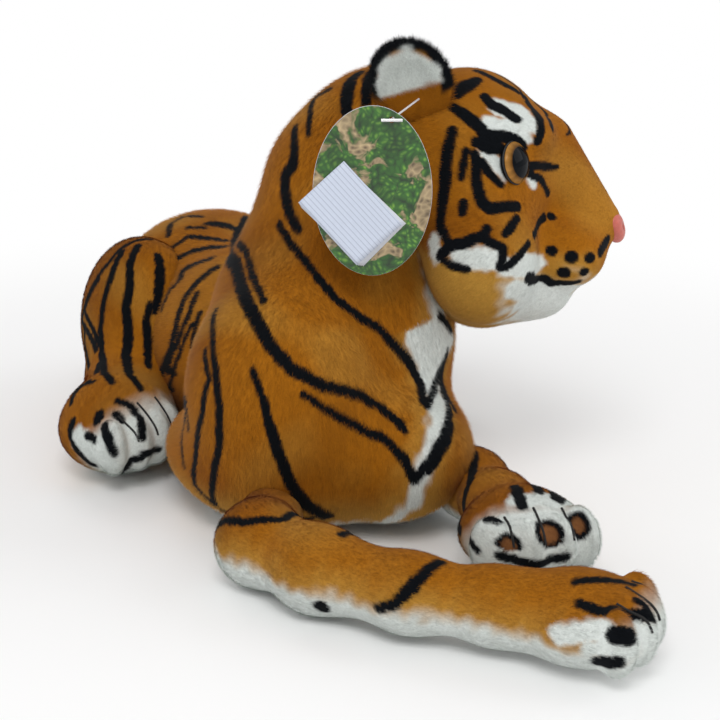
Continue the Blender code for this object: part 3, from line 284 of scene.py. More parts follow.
HEAD_STRIPES = (
    (14, 15, 8, ((456, 93), (466, 86), (477, 80))),
    (5, 7, 6, ((477, 71), (494, 79), (505, 85), (524, 96), (534, 110), (541, 127), (538, 141))),
    (4, 6, 4, ((548, 118), (552, 128))),
    (6, 9, 6, ((485, 97), (492, 105), (505, 111), (517, 119))),
    (6, 9, 8, ((453, 107), (466, 116), (481, 128), (484, 136))),
    (8, 10, 8, ((484, 136), (505, 137), (517, 142), (522, 147))),
    (10, 14, 8, ((478, 143), (490, 146), (502, 150))),
    (3, 4, 3, ((466, 151), (463, 164), (461, 178))),
    (4, 5, 3, ((482, 162), (490, 174), (501, 185))),
    (6, 5, 2, ((528, 166), (541, 166), (557, 167))),
    (4, 4, 3, ((529, 174), (540, 178), (548, 194))),
    (7, 9, 6, ((452, 131), (447, 154), (445, 181), (442, 205), (440, 227), (450, 245))),
    (6, 8, 7, ((474, 154), (476, 167), (477, 187), (482, 202), (489, 209), (502, 207), (517, 207))),
    (5, 7, 5, ((463, 203), (463, 212))),
    (5, 6, 5, ((550, 217), (552, 217))),
    (4, 7, 4, ((505, 234), (517, 218))),
    (4, 5, 4, ((534, 235), (544, 217))),
    (6, 7, 6, ((550, 251), (552, 251))),
    (8, 9, 8, ((570, 257), (572, 257))),
    (7, 8, 7, ((589, 258), (591, 258))),
    (9, 10, 9, ((563, 273), (565, 273))),
    (5, 6, 5, ((583, 272), (585, 272))),
    (6, 7, 5, ((608, 240), (603, 248), (600, 253))),
    (6, 8, 6, ((440, 257), (448, 247), (467, 242), (483, 236), (487, 230))),
    (5, 6, 5, ((483, 238), (503, 249), (501, 267))),
    (4, 6, 4, ((440, 257), (450, 265), (467, 269))),
    (4, 5, 4, ((507, 267), (518, 257), (528, 244))),
    (8, 10, 6, ((528, 278), (534, 279))),
    (5, 6, 4, ((530, 281), (552, 283), (578, 282))),
)
HEAD_WHITES = (
    (18, 24, 16, ((500, 108), (518, 112), (528, 124))),
    (12, 18, 12, ((488, 124), (508, 128), (524, 138))),
    (8, 10, 6, ((485, 152), (496, 163), (503, 175))),
    (6, 8, 5, ((530, 178), (534, 183))),
    (16, 20, 16, ((460, 258), (477, 259), (494, 260))),
    (12, 14, 12, ((434, 242), (436, 256))),
    (16, 20, 16, ((506, 268), (522, 266), (538, 264))),
    (18, 24, 14, ((515, 290), (545, 292), (575, 288))),
    (12, 18, 10, ((518, 306), (536, 306), (558, 301))),
)
# Lines on the forehead, as half widths across and points in shares of the head's sizes: (across, up)
BROW_LINES = (
    (0.0016, ((0.00, 0.53), (0.00, 0.44), (0.00, 0.34))),
    (0.0015, ((0.05, 0.50), (0.09, 0.44), (0.15, 0.41))),
    (0.0015, ((0.04, 0.40), (0.09, 0.35), (0.16, 0.33))),
    (0.0013, ((0.03, 0.31), (0.07, 0.27), (0.11, 0.26))),
)


def linear(colour):
    """A screen colour as the numbers that a shader takes."""
    share = np.array(colour, float) / 255
    return np.where(share <= 0.04045, share / 12.92, ((share + 0.055) / 1.055) ** 2.4)


def scaled(shares, sizes):
    return np.array([share * size for share, size in zip(shares, sizes)])


def moved(points, matrix):
    """Points carried by a matrix."""
    table = np.array(matrix)
    return points @ table[:3, :3].T + table[:3, 3]


def smooth_union(first, second, blend):
    if first is None:
        return second
    near = np.clip(blend - np.abs(first - second), 0.0, None) / blend
    return np.minimum(first, second) - near * near * blend / 4


def ball_distance(points, centre, half):
    away = points - np.array(centre)
    size = np.linalg.norm(away / half, axis=1)
    return size * (size - 1.0) / np.maximum(np.linalg.norm(away / np.square(half), axis=1), TINY)


def rod_distance(points, start, end, radius_a, radius_b):
    run = end - start
    share = np.clip((points - start) @ run / (run @ run), 0.0, 1.0)
    away = np.linalg.norm(points - start - share[:, None] * run, axis=1)
    return away - radius_a - share * (radius_b - radius_a)


class Shape:
    """A blend of balls and tapered rods in its own frame."""

    def __init__(self, matrix, balls, rods, blend, details=(), detail_blend=0.004, dents=()):
        self.matrix = matrix
        self.balls = [(np.array(centre), np.array(half)) for centre, half in balls]
        self.rods = [(np.array(a), np.array(b), ra, rb) for a, b, ra, rb in rods]
        self.blend = blend
        self.details = [(np.array(centre), np.array(half)) for centre, half in details]
        self.detail_blend = detail_blend
        self.dents = [(np.array(centre), np.array(half)) for centre, half in dents]

    def distance(self, points):
        """How far points lie outside the skin, which stands back by the pile's depth."""
        total = None
        for centre, half in self.balls:
            total = smooth_union(total, ball_distance(points, centre, half), self.blend)
        for rod in self.rods:
            total = smooth_union(total, rod_distance(points, *rod), self.blend)
        for centre, half in self.details:
            total = smooth_union(total, ball_distance(points, centre, half), self.detail_blend)
        for centre, half in self.dents:
            total = -smooth_union(-total, ball_distance(points, centre, half), self.detail_blend)
        return total + INSET

    def slope(self, points):
        grown = [self.distance(points + step) - self.distance(points - step) for step in np.eye(3) * STEP]
        away = np.array(grown).T
        return away / np.maximum(np.linalg.norm(away, axis=1), TINY)[:, None]

    def primitives(self):
        """The balls and rods as one rough mesh, to be joined by a voxel remesh."""
        bm = bmesh.new()
        for centre, half in (*self.balls, *self.details):
            place = Matrix.Translation(centre) @ Matrix.Diagonal((*half, 1.0))
            bmesh.ops.create_icosphere(bm, subdivisions=3, radius=1.0, matrix=place)
        for start, end, radius_a, radius_b in self.rods:
            for spot in np.linspace(0.0, 1.0, 9):
                radius = radius_a + spot * (radius_b - radius_a)
                place = Matrix.Translation(start + spot * (end - start))
                bmesh.ops.create_icosphere(bm, subdivisions=3, radius=radius, matrix=place)
        return finished(bm, "rough")

    def skin(self, name, voxel):
        """A fine mesh on the shape, in the world, resting on the ground."""
        rough = bpy.data.objects.new("rough", self.primitives())
        bpy.context.scene.collection.objects.link(rough)
        remesh = rough.modifiers.new("remesh", "REMESH")
        remesh.mode = "VOXEL"
        remesh.voxel_size = voxel
        bpy.context.view_layer.update()
        mesh = bpy.data.meshes.new_from_object(rough.evaluated_get(bpy.context.evaluated_depsgraph_get()))
        bpy.data.objects.remove(rough)
        points = coordinates(mesh)
        ends = edge_ends(mesh)
        for _ in range(5):
            points = points - np.clip(self.distance(points), -voxel, voxel)[:, None] * self.slope(points)
            points = 0.5 * points + 0.5 * neighbour_mean(points, ends)
        for _ in range(3):
            points = points - np.clip(self.distance(points), -voxel, voxel)[:, None] * self.slope(points)
        points = moved(points, self.matrix)
        points[:, 2] = np.maximum(points[:, 2], REST_HEIGHT)
        mesh.vertices.foreach_set("co", points.ravel())
        mesh.update()
        mesh.name = name
        mesh.shade_smooth()
        return new_object(name, mesh)


def finished(bm, name):
    mesh = bpy.data.meshes.new(name)
    bm.to_mesh(mesh)
    bm.free()
    return mesh


def wire_curve(name, radius, resolution):
    curve = bpy.data.curves.new(name, "CURVE")
    curve.dimensions = "3D"
    curve.bevel_depth = radius
    curve.bevel_resolution = resolution
    return curve


def add_oval(curve, kind, half_x, half_y, count, middle=(0, 0)):
    """A closed spline along an oval."""
    spline = curve.splines.new(kind)
    spline.points.add(count - 1)
    spline.use_cyclic_u = True
    for k, knot in enumerate(spline.points):
        angle = 2 * math.pi * k / count
        knot.co = (middle[0] + half_x * math.cos(angle), middle[1] + half_y * math.sin(angle), 0, 1)


def coordinates(mesh):
    found = np.empty(len(mesh.vertices) * 3)
    mesh.vertices.foreach_get("co", found)
    return found.reshape(-1, 3)


def vertex_normals(mesh):
    found = np.empty(len(mesh.vertices) * 3, np.float32)
    mesh.vertex_normals.foreach_get("vector", found)
    return found.reshape(-1, 3).astype(float)


def edge_ends(mesh):
    found = np.empty(len(mesh.edges) * 2, np.int32)
    mesh.edges.foreach_get("vertices", found)
    return found.reshape(-1, 2)


def neighbour_mean(points, ends):
    total = np.zeros_like(points)
    np.add.at(total, ends[:, 0], points[ends[:, 1]])
    np.add.at(total, ends[:, 1], points[ends[:, 0]])
    return total / np.bincount(ends.ravel(), minlength=len(points))[:, None]


def new_object(name, mesh):
    obj = bpy.data.objects.new(name, mesh)
    bpy.context.scene.collection.objects.link(obj)
    return obj


def ripple(points, size, seed):
    """Smooth noise from -1 to 1, with features of about a size."""
    rng = np.random.default_rng(seed)
    total = np.zeros(len(points))
    for _ in range(7):
        way = rng.normal(size=3)
        way *= 2 * math.pi / (size * 2 * np.linalg.norm(way)) * rng.uniform(0.6, 1.6)
        total += np.sin(points @ way + rng.uniform(0, 2 * math.pi))
    return np.clip(total / 3.2, -1, 1)


def soft_step(value, half):
    """1 where the value is well above 0 and 0 where it is well below."""
    share = np.clip(value / (2 * half) + 0.5, 0, 1)
    return share * share * (3 - 2 * share)


class Photograph:
    """The rays of the photograph's camera."""

    def __init__(self):
        cos, sin = math.cos(CAMERA_TILT), math.sin(CAMERA_TILT)
        back = np.array((math.sin(CAMERA_AZIMUTH) * cos, -math.cos(CAMERA_AZIMUTH) * cos, sin))
        self.place = np.array(CAMERA_AIM) + back * CAMERA_DISTANCE
        self.forward = -back
        self.right = np.array((math.cos(CAMERA_AZIMUTH), math.sin(CAMERA_AZIMUTH), 0.0))
        self.up = np.cross(self.right, self.forward)
        self.focal = CAMERA_DISTANCE / PIXEL

    def ray(self, x, y):
        way = self.forward * self.focal + self.right * (x - IMAGE_SIZE / 2) - self.up * (y - IMAGE_SIZE / 2)
        return Vector(way / np.linalg.norm(way))

    def matrix(self):
        axes = np.array((self.right, self.up, -self.forward)).T
        return Matrix.Translation(self.place) @ Matrix(axes.tolist()).to_4x4()


PHOTO = Photograph()


class Marks:
    """Lines and spots on one skin, kept as close points with half widths."""

    def __init__(self, tree):
        self.tree = tree
        self.points = []
        self.halves = []

    def cast(self, spots):
        """Pixels carried onto the skin. A ray that misses goes to the nearest place beside it."""
        eye, found = Vector(PHOTO.place), []
        for x, y in spots:
            ray = PHOTO.ray(x, y)
            hit = self.tree.ray_cast(eye, ray)[0]
            if hit is None:
                hit = eye + ray * CAMERA_DISTANCE
                for _ in range(8):
                    hit = self.tree.find_nearest(eye + ray * (hit - eye).dot(ray))[0]
            found.append(np.array(hit))
        return found

    def seen(self, point):
        """Whether the photograph shows a place on the skin."""
        eye = Vector(PHOTO.place)
        way = Vector(point) - eye
        hit = self.tree.ray_cast(eye, way.normalized())[3]
        return hit is not None and hit > way.length - SEEN_DEPTH

    def line(self, run, halves, hidden=False):
        """A line through points, with a half width at the start, in the middle and at the end.

        It breaks off where it would bridge a hollow. A hidden one is drawn only where the photograph doesn't
        show the skin.
        """
        run = [np.array(point) for point in run]
        steps = [np.linalg.norm(b - a) for a, b in zip(run, run[1:])]
        ways = np.concatenate(([0.0], np.cumsum(steps)))
        count = max(2, int(ways[-1] / 0.0008))
        for way in np.linspace(0, ways[-1], count):
            point = [np.interp(way, ways, [p[k] for p in run]) for k in range(3)]
            snapped, _, _, gap = self.tree.find_nearest(Vector(point))
            if gap > BRIDGE or (hidden and self.seen(snapped)):
                continue
            self.points.append(np.array(snapped))
            self.halves.append(np.interp(way / max(ways[-1], TINY), (0, 0.5, 1), halves))

    def stripes(self, stripes, mirror=None):
        """Stripes drawn in pixels, and again mirrored where a mirror is given."""
        for start, middle, end, spots in stripes:
            run = self.cast(spots)
            halves = [width * PIXEL / 2 + STRIPE_EXTRA for width in (start, middle, end)]
            self.line(run, halves)
            if mirror:
                self.line([mirror(point) for point in run], halves, hidden=True)

    def mask(self, points, ragged, seed, soft=0.0004):
        """How far each point lies within the marks, from 0 to 1, with an uneven edge."""
        found = kdtree.KDTree(len(self.points))
        for index, point in enumerate(self.points):
            found.insert(point, index)
        found.balance()
        halves = np.array(self.halves)
        near = [found.find(point) for point in points]
        inside = halves[[item[1] for item in near]] - np.array([item[2] for item in near])
        return soft_step(inside + ragged * ripple(points, 0.0035, seed), soft)


def skin_tree(obj):
    mesh = obj.data
    return BVHTree.FromPolygons([v.co for v in mesh.vertices], [tuple(p.vertices) for p in mesh.polygons])


def mixed(colours, other, share):
    return colours + (linear(other) - colours) * share[:, None]


def coat(points, seed):
    """The orange pile's own colour, with deeper and paler patches."""
    colours = np.tile(linear(ORANGE), (len(points), 1))
    colours = mixed(colours, DEEP_ORANGE, 0.55 * np.clip(ripple(points, 0.045, seed), 0, 1))
    return mixed(colours, TAN, 0.35 * np.clip(ripple(points, 0.030, seed + 1), 0, 1))


def write_tint(mesh, colours):
    attribute = mesh.attributes.new("tint", "FLOAT_COLOR", "POINT")
    table = np.column_stack((colours, np.ones(len(colours))))
    attribute.data.foreach_set("color", table.ravel().astype(np.float32))


def pile(name, skin, paint, flow, density, length, width, seed, lift=0.35, holes=()):
    """Single blades over a skin, lying along a flow and coloured as the skin is below them.

    The density is in blades per square metre. The lift is how far a blade stands up for its length.
    """
    mesh = skin.data
    mesh.calc_loop_triangles()
    corners = np.empty(len(mesh.loop_triangles) * 3, np.int32)
    mesh.loop_triangles.foreach_get("vertices", corners)
    corners = corners.reshape(-1, 3)
    points, normals = coordinates(mesh), vertex_normals(mesh)
    a, b, c = (points[corners[:, k]] for k in range(3))
    areas = np.linalg.norm(np.cross(b - a, c - a), axis=1) / 2
    rng = np.random.default_rng(seed)
    count = int(areas.sum() * density)
    chosen = rng.choice(len(areas), count, p=areas / areas.sum())
    u, v = rng.random(count), rng.random(count)
    over = u + v > 1
    u[over], v[over] = 1 - u[over], 1 - v[over]
    weights = np.column_stack((1 - u - v, u, v))
    roots = np.einsum("ij,ijk->ik", weights, points[corners[chosen]])
    ups = np.einsum("ij,ijk->ik", weights, normals[corners[chosen]])
    ups /= np.linalg.norm(ups, axis=1)[:, None]
    use = (roots[:, 2] > 0.0015) | (ups[:, 2] > -0.3)
    roots, ups = roots[use], ups[use]
    way = flow(roots, ups)
    way += rng.normal(scale=0.16, size=way.shape)
    way -= np.einsum("ij,ij->i", way, ups)[:, None] * ups
    way /= np.maximum(np.linalg.norm(way, axis=1), TINY)[:, None]
    rise = lift * rng.uniform(0.6, 1.4, len(roots))[:, None]
    sizes = (length(roots) if callable(length) else length) * rng.uniform(0.7, 1.2, (len(roots), 1))
    tips = roots + (way + rise * ups) * sizes
    tips[:, 2] = np.maximum(tips[:, 2], REST_HEIGHT)
    clear = np.ones(len(roots), bool)
    for centre, radius in holes:
        for share in (0.0, 0.5, 1.0):
            spots = roots + share * (tips - roots)
            clear &= np.linalg.norm(spots - np.array(centre), axis=1) > radius
    roots, ups, way, tips = roots[clear], ups[clear], way[clear], tips[clear]
    lean = way * sizes[clear]
    side = np.cross(way, ups) * width / 2
    base = roots - ups * 0.0004
    made = np.empty((len(roots), 3, 3))
    made[:, 0], made[:, 1], made[:, 2] = base - side, base + side, tips
    tone = rng.normal(1.0, 0.10, len(roots))[:, None]
    # The blade's root end is darkened with painted shade and its tip lightened with a painted highlight
    low = paint(roots + LOW_SPOT * lean, ups) * tone * ROOT_SHADE
    high = paint(roots + HIGH_SPOT * lean, ups) * tone * TIP_LIGHT
    shades = np.stack((low, low, high), axis=1)
    blades = bpy.data.meshes.new(name)
    faces = np.arange(len(roots) * 3).reshape(-1, 3)
    blades.from_pydata(made.reshape(-1, 3).tolist(), [], faces.tolist())
    write_tint(blades, np.clip(shades.reshape(-1, 3), 0, 1))
    blades.shade_smooth()
    blades.normals_split_custom_set_from_vertices(np.repeat(ups, 3, axis=0).tolist())
    return new_object(name, blades)


def new_material(name):
    """A material, its node tree and its shader."""
    material = bpy.data.materials.new(name)
    material.use_nodes = True
    return material, material.node_tree, material.node_tree.nodes["Principled BSDF"]


def link(source, output, target, socket):
    source.id_data.links.new(source.outputs[output], target.inputs[socket])


def add_ramp(tree, low, high):
    """A ramp between two linear colours."""
    ramp = tree.nodes.new("ShaderNodeValToRGB")
    ramp.color_ramp.elements[0].color = (*low, 1)
    ramp.color_ramp.elements[1].color = (*high, 1)
    return ramp


def add_node(tree, kind, **values):
    node = tree.nodes.new(kind)
    for key, value in values.items():
        node.inputs[key].default_value = value
    return node


def plush_material(name, roughness, sheen, bump):
    """Cloth pile: its colour comes from the painted tint, broken up by fine noise, with a felted bump."""
    material, tree, shader = new_material(name)
    tint = tree.nodes.new("ShaderNodeAttribute")
    tint.attribute_name = "tint"
    place = tree.nodes.new("ShaderNodeTexCoord")
    grain = add_node(tree, "ShaderNodeTexNoise", Scale=900.0, Detail=3.0, Roughness=0.6)
    link(place, "Object", grain, "Vector")
    spread = add_node(tree, "ShaderNodeMapRange")
    spread.inputs["To Min"].default_value = 0.78
    spread.inputs["To Max"].default_value = 1.22
    link(grain, "Fac", spread, "Value")
    scale = tree.nodes.new("ShaderNodeVectorMath")
    scale.operation = "SCALE"
    link(tint, "Color", scale, 0)
    link(spread, "Result", scale, "Scale")
    link(scale, "Vector", shader, "Base Color")
    shader.inputs["Roughness"].default_value = roughness
    shader.inputs["Specular IOR Level"].default_value = 0.08
    shader.inputs["Sheen Weight"].default_value = sheen
    shader.inputs["Sheen Roughness"].default_value = 0.5
    if bump:
        felt = add_node(tree, "ShaderNodeBump", Strength=bump, Distance=0.0006)
        link(grain, "Fac", felt, "Height")
        link(felt, "Normal", shader, "Normal")
    return material


def plastic_material(name, colour, roughness, coat_weight=0.0):
    """Moulded plastic: a colour with a faint mottle and a slight orange-peel bump."""
    material, tree, shader = new_material(name)
    place = tree.nodes.new("ShaderNodeTexCoord")
    grain = add_node(tree, "ShaderNodeTexNoise", Scale=350.0, Detail=2.0)
    link(place, "Object", grain, "Vector")
    ramp = add_ramp(tree, linear(colour) * 0.85, np.clip(linear(colour) * 1.1, 0, 1))
    link(grain, "Fac", ramp, "Fac")
    link(ramp, "Color", shader, "Base Color")
    peel = add_node(tree, "ShaderNodeBump", Strength=0.05, Distance=0.0002)
    link(grain, "Fac", peel, "Height")
    link(peel, "Normal", shader, "Normal")
    shader.inputs["Roughness"].default_value = roughness
    shader.inputs["Coat Weight"].default_value = coat_weight
    return material


def tinted_plastic(name, roughness, specular):
    """Glossy plastic that takes its colours from the painted tint."""
    material = plush_material(name, roughness, 0.0, 0.0)
    shader = material.node_tree.nodes["Principled BSDF"]
    shader.inputs["Specular IOR Level"].default_value = specular
    return material


def leaf_material():
    """A printed thicket: leaves from warped cells in several greens, with dark gaps and patches of bark."""
    material, tree, shader = new_material("leaf_print")
    place = tree.nodes.new("ShaderNodeTexCoord")
    warp = add_node(tree, "ShaderNodeTexNoise", Scale=60.0, Detail=3.0)
    link(place, "Object", warp, "Vector")
    bend = tree.nodes.new("ShaderNodeVectorMath")
    bend.operation = "MULTIPLY_ADD"
    bend.inputs[1].default_value = (0.012, 0.012, 0.0)
    link(warp, "Color", bend, 0)
    link(place, "Object", bend, 2)
    leaves = add_node(tree, "ShaderNodeTexVoronoi", Scale=420.0)
    link(bend, "Vector", leaves, "Vector")
    sprays = add_node(tree, "ShaderNodeTexVoronoi", Scale=130.0)
    link(bend, "Vector", sprays, "Vector")
    greens = add_ramp(tree, linear((128, 176, 62)), linear((18, 48, 15)))
    middle = greens.color_ramp.elements.new(0.42)
    middle.color = (*linear((52, 110, 30)), 1)
    link(leaves, "Distance", greens, "Fac")
    shade = add_ramp(tree, (1.15, 1.15, 1.1), (0.28, 0.34, 0.24))
    link(sprays, "Distance", shade, "Fac")
    both = tree.nodes.new("ShaderNodeVectorMath")
    both.operation = "MULTIPLY"
    link(greens, "Color", both, 0)
    link(shade, "Color", both, 1)
    trunks = add_node(tree, "ShaderNodeTexNoise", Scale=46.0, Detail=4.0, Roughness=0.55, Distortion=0.8)
    link(bend, "Vector", trunks, "Vector")
    where = tree.nodes.new("ShaderNodeMapRange")
    where.inputs["From Min"].default_value = 0.50
    where.inputs["From Max"].default_value = 0.54
    link(trunks, "Fac", where, "Value")
    bark = add_ramp(tree, linear((74, 58, 38)), linear((196, 172, 130)))
    link(leaves, "Distance", bark, "Fac")
    mixed_print = tree.nodes.new("ShaderNodeMix")
    mixed_print.data_type = "RGBA"
    link(where, "Result", mixed_print, "Factor")
    link(both, "Vector", mixed_print, "A")
    link(bark, "Color", mixed_print, "B")
    link(mixed_print, "Result", shader, "Base Color")
    shader.inputs["Roughness"].default_value = 0.35
    shader.inputs["Coat Weight"].default_value = 0.4
    return material


def paper_material(name, colour, ruled):
    """Paper with a fibre grain and, where it is ruled, faint grey lines."""
    material, tree, shader = new_material(name)
    place = tree.nodes.new("ShaderNodeTexCoord")
    grain = add_node(tree, "ShaderNodeTexNoise", Scale=700.0, Detail=4.0)
    link(place, "Object", grain, "Vector")
    fibre = add_ramp(tree, linear(colour) * 0.93, np.clip(linear(colour) * 1.04, 0, 1))
    link(grain, "Fac", fibre, "Fac")
    last = fibre.outputs["Color"]
    if ruled:
        lines = add_node(tree, "ShaderNodeTexWave", Scale=150.0)
        lines.bands_direction = "X"
        link(place, "Object", lines, "Vector")
        fade = add_ramp(tree, (1, 1, 1), (0.70, 0.71, 0.74))
        fade.color_ramp.elements[0].position = 0.86
        fade.color_ramp.elements[1].position = 0.98
        link(lines, "Fac", fade, "Fac")
        both = tree.nodes.new("ShaderNodeVectorMath")
        both.operation = "MULTIPLY"
        tree.links.new(last, both.inputs[0])
        link(fade, "Color", both, 1)
        last = both.outputs["Vector"]
    tree.links.new(last, shader.inputs["Base Color"])
    shader.inputs["Roughness"].default_value = 0.75
    return material


def put(obj, material):
    obj.data.materials.clear()
    obj.data.materials.append(material)


def carry(pieces, body, bend=None):
    """Pieces ride on a body, or, where a bend is given, stay fixed where they are in the world."""
    for piece in pieces:
        if bend:
            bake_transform(piece)
        else:
            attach(piece, body)


def dressed(name, shape, voxel, paint_maker, flow, nodes, body, seed, blades, bend=None, holes=()):
    """A stuffed piece: its skin, its painted colours and its pile."""
    skin = shape.skin(name, voxel)
    points, normals = coordinates(skin.data), vertex_normals(skin.data)
    paint = paint_maker(skin)
    write_tint(skin.data, paint(points, normals))
    put(skin, MATERIALS["skin"])
    density, length, width, lift = blades
    fur = pile(name + "_pile", skin, paint, flow, density, length, width, seed, lift, holes)
    put(fur, MATERIALS["pile"])
    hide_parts(*nodes)
    carry((skin, fur), body, bend)
    return skin


def along_rods(shape):
    """A flow that follows a shape's rods from their first end to their last."""
    rods = [(a, b) for a, b, _, _ in shape.rods]
    world = np.array(shape.matrix)[:3, :3]

    def flow(points, normals):
        local = moved(points, shape.matrix.inverted())
        gaps = np.array([rod_distance(local, a, b, 0.0, 0.0) for a, b in rods])
        ways = np.array([(b - a) / np.linalg.norm(b - a) for a, b in rods])
        return ways[gaps.argmin(axis=0)] @ world.T

    return flow


def scaled_balls(balls, sizes):
    return [(scaled(centre, sizes), scaled(half, sizes)) for centre, half in balls]


def scaled_rods(rods, sizes):
    width = sizes[0]
    return [(scaled(a, sizes), scaled(b, sizes), ra * width, rb * width) for a, b, ra, rb in rods]


def torso_shape():
    balls, rods = scaled_balls(TORSO_BALLS, TORSO_SIZES), scaled_rods(TORSO_RODS, TORSO_SIZES)
    return Shape(Matrix(), balls, rods, TORSO_BLEND)


def paint_torso(skin):
    tree = skin_tree(skin)
    black = Marks(tree)
    black.stripes(TORSO_STRIPES)
    for place, lean in BACK_BANDS:
        run = []
        for angle in np.linspace(-115, 115, 25):
            across, height = math.sin(math.radians(angle)), math.cos(math.radians(angle))
            y = (place + lean * abs(across) + 0.008 * math.sin(angle / 9 + 40 * place)) * TORSO_SIZES[1]
            start = Vector((0.011 * max(0.0, y) / 0.08, y, 0.05))
            hit = tree.ray_cast(start + Vector((across, 0, height)) * 0.2, -Vector((across, 0, height)))[0]
            if hit is not None:
                run.append(np.array(hit))
        half = len(run) // 2
        if place > BOTH_SIDES_FROM:
            black.line(run[:half], (0.0010, 0.0030, 0.0018), hidden=True)
        black.line(run[half + 1:], (0.0018, 0.0030, 0.0010), hidden=True)
    edges = []
    for spots in (BIB_EDGE, BIB_FAR_EDGE):
        edges.append(np.array(sorted((point[2], point[0]) for point in black.cast(spots))).T)

    def paint(points, normals):
        colours = coat(points, 11)
        ragged = 0.002 * ripple(points, 0.006, 5)
        colours = mixed(colours, TAN, 0.6 * soft_step(0.026 - points[:, 2], 0.010))
        colours = mixed(colours, WHITE, soft_step(0.011 - points[:, 2] + ragged, 0.003))
        right, left = (np.interp(points[:, 2], heights, sides) for heights, sides in edges)
        inside = np.minimum(points[:, 0] - right, left - points[:, 0]) + ragged
        inside = np.minimum(inside, np.minimum(-0.085 - points[:, 1], 0.150 - points[:, 2]))
        colours = mixed(colours, TAN, 0.5 * soft_step(inside + 0.008, 0.006))
        colours = mixed(colours, WHITE, soft_step(inside, 0.0025))
        return mixed(colours, BLACK, black.mask(points, 0.0004, 3))

    return paint


def torso_flow(points, normals):
    """Down the neck and the chest, and back along the body."""
    down = soft_step(points[:, 2] - 0.105, 0.04)
    front = soft_step(-0.10 - points[:, 1], 0.03)
    down = np.maximum(down, front)[:, None]
    return (1 - down) * np.array((0.0, 1.0, -0.35)) + down * np.array((0.0, 0.15, -1.0))


def head_matrix():
    pivot = Matrix.Translation(scaled(NECK_PIVOT, TORSO_SIZES))
    turn = pivot @ Matrix.Rotation(HEAD_TURN, 4, "Z")
    return turn @ Matrix.Translation(scaled(HEAD_OFFSET, HEAD_SIZES)) @ Matrix.Rotation(HEAD_ROLL, 4, "Y")


def head_shape():
    balls, rods = scaled_balls(HEAD_BALLS, HEAD_SIZES), scaled_rods(HEAD_RODS, HEAD_SIZES)
    details = scaled_balls(HEAD_DETAILS, HEAD_SIZES)
    return Shape(head_matrix(), balls, rods, HEAD_BLEND, details, HEAD_DETAIL_BLEND)


def paint_head(skin):
    matrix = head_matrix()
    inverse = matrix.inverted()
    tree = skin_tree(skin)

    def mirror(point):
        local = inverse @ Vector(point)
        local.x = -local.x
        return np.array(matrix @ local)

    black, white = Marks(tree), Marks(tree)
    black.stripes(HEAD_STRIPES, mirror)
    white.stripes(HEAD_WHITES, mirror)
    for half, run in BROW_LINES:
        for side in (1, -1):
            hits = []
            for across, up in run:
                start = matrix @ Vector(scaled((side * across, -2.0, up), HEAD_SIZES))
                way = matrix.to_3x3() @ Vector((0, 1, 0))
                hit = tree.ray_cast(start, way)[0]
                if hit is not None:
                    hits.append(np.array(hit))
            if len(hits) > 1:
                black.line(hits, (half, half, half * 0.6))

    def paint(points, normals):
        local = moved(points, inverse) / np.array(HEAD_SIZES)
        colours = coat(points, 21)
        ragged = 0.03 * ripple(points, 0.006, 8)
        low = -0.315 + 0.10 * (local[:, 1] + 0.2) - local[:, 2] + ragged
        colours = mixed(colours, TAN, 0.9 * soft_step(low + 0.08, 0.09))
        chin = np.minimum(low, -0.10 - local[:, 1] + 1.5 * ragged)
        colours = mixed(colours, WHITE, soft_step(chin, 0.06))
        colours = mixed(colours, WHITE, white.mask(points, 0.0008, 9, 0.0014))
        return mixed(colours, BLACK, black.mask(points, 0.0003, 4))

    return paint


def head_flow(points, normals):
    """Back from the nose over the face, and down on the cheeks."""
    turn = np.array(head_matrix())[:3, :3]
    back = turn @ np.array((0.0, 1.0, 0.25))
    low = soft_step(0.160 - points[:, 2], 0.02)[:, None]
    return (1 - low) * back + low * (turn @ np.array((0.0, 0.75, -0.55)))


def paw_parts(place, turn):
    """The pad and the four toes of a paw that points along -Y turned by an angle."""
    spin = Matrix.Rotation(turn, 3, "Z")
    middle = Vector(place)
    pad = (middle, (PAW_WIDTH / 2, PAW_LENGTH / 2, PAW_HEIGHT / 2))
    toes = []
    for spread, reach in zip(TOE_SPREADS, TOE_REACHES):
        centre = middle + spin @ Vector((spread * PAW_WIDTH, -reach * PAW_LENGTH, 0))
        toes.append((centre, scaled(TOE_HALF, (PAW_WIDTH, PAW_LENGTH, PAW_HEIGHT))))
    return pad, toes


def foreleg_shape(side, shoulder, heading, pitch, root, rise):
    path = []
    for inward, forward, radius in (*root, *FORELEG_PATH):
        point = np.array((side * inward * FORELEG_REACH, -forward * FORELEG_REACH, PAW_HEIGHT / 2))
        path.append((point, radius * FORELEG_THICKNESS))
    rods = [(a, b, ra, rb) for (a, ra), (b, rb) in zip(path, path[1:])]
    pad, toes = paw_parts(foreleg_paw(side), side * FORELEG_PAW_TURN)
    start = scaled(shoulder, TORSO_SIZES)
    turn = Matrix.Rotation(heading, 4, "Z") @ Matrix.Rotation(-pitch, 4, "X")
    matrix = Matrix.Translation((*start, rise)) @ turn
    return Shape(matrix, [pad], rods, FORELEG_BLEND, toes, TOE_BLEND)


def foreleg_paw(side):
    inward, forward = FORELEG_PAW
    return (side * inward * FORELEG_REACH, -forward * FORELEG_REACH, PAW_HEIGHT / 2)


def hindleg_sizes(side):
    drawn = HINDLEG_LEFT if side > 0 else 1.0
    return THIGH_THICKNESS * drawn, -THIGH_LENGTH * drawn


def hindleg_paw(side):
    out, ahead = scaled(HINDLEG_PAW, hindleg_sizes(side))
    return (side * out, ahead, PAW_HEIGHT / 2)


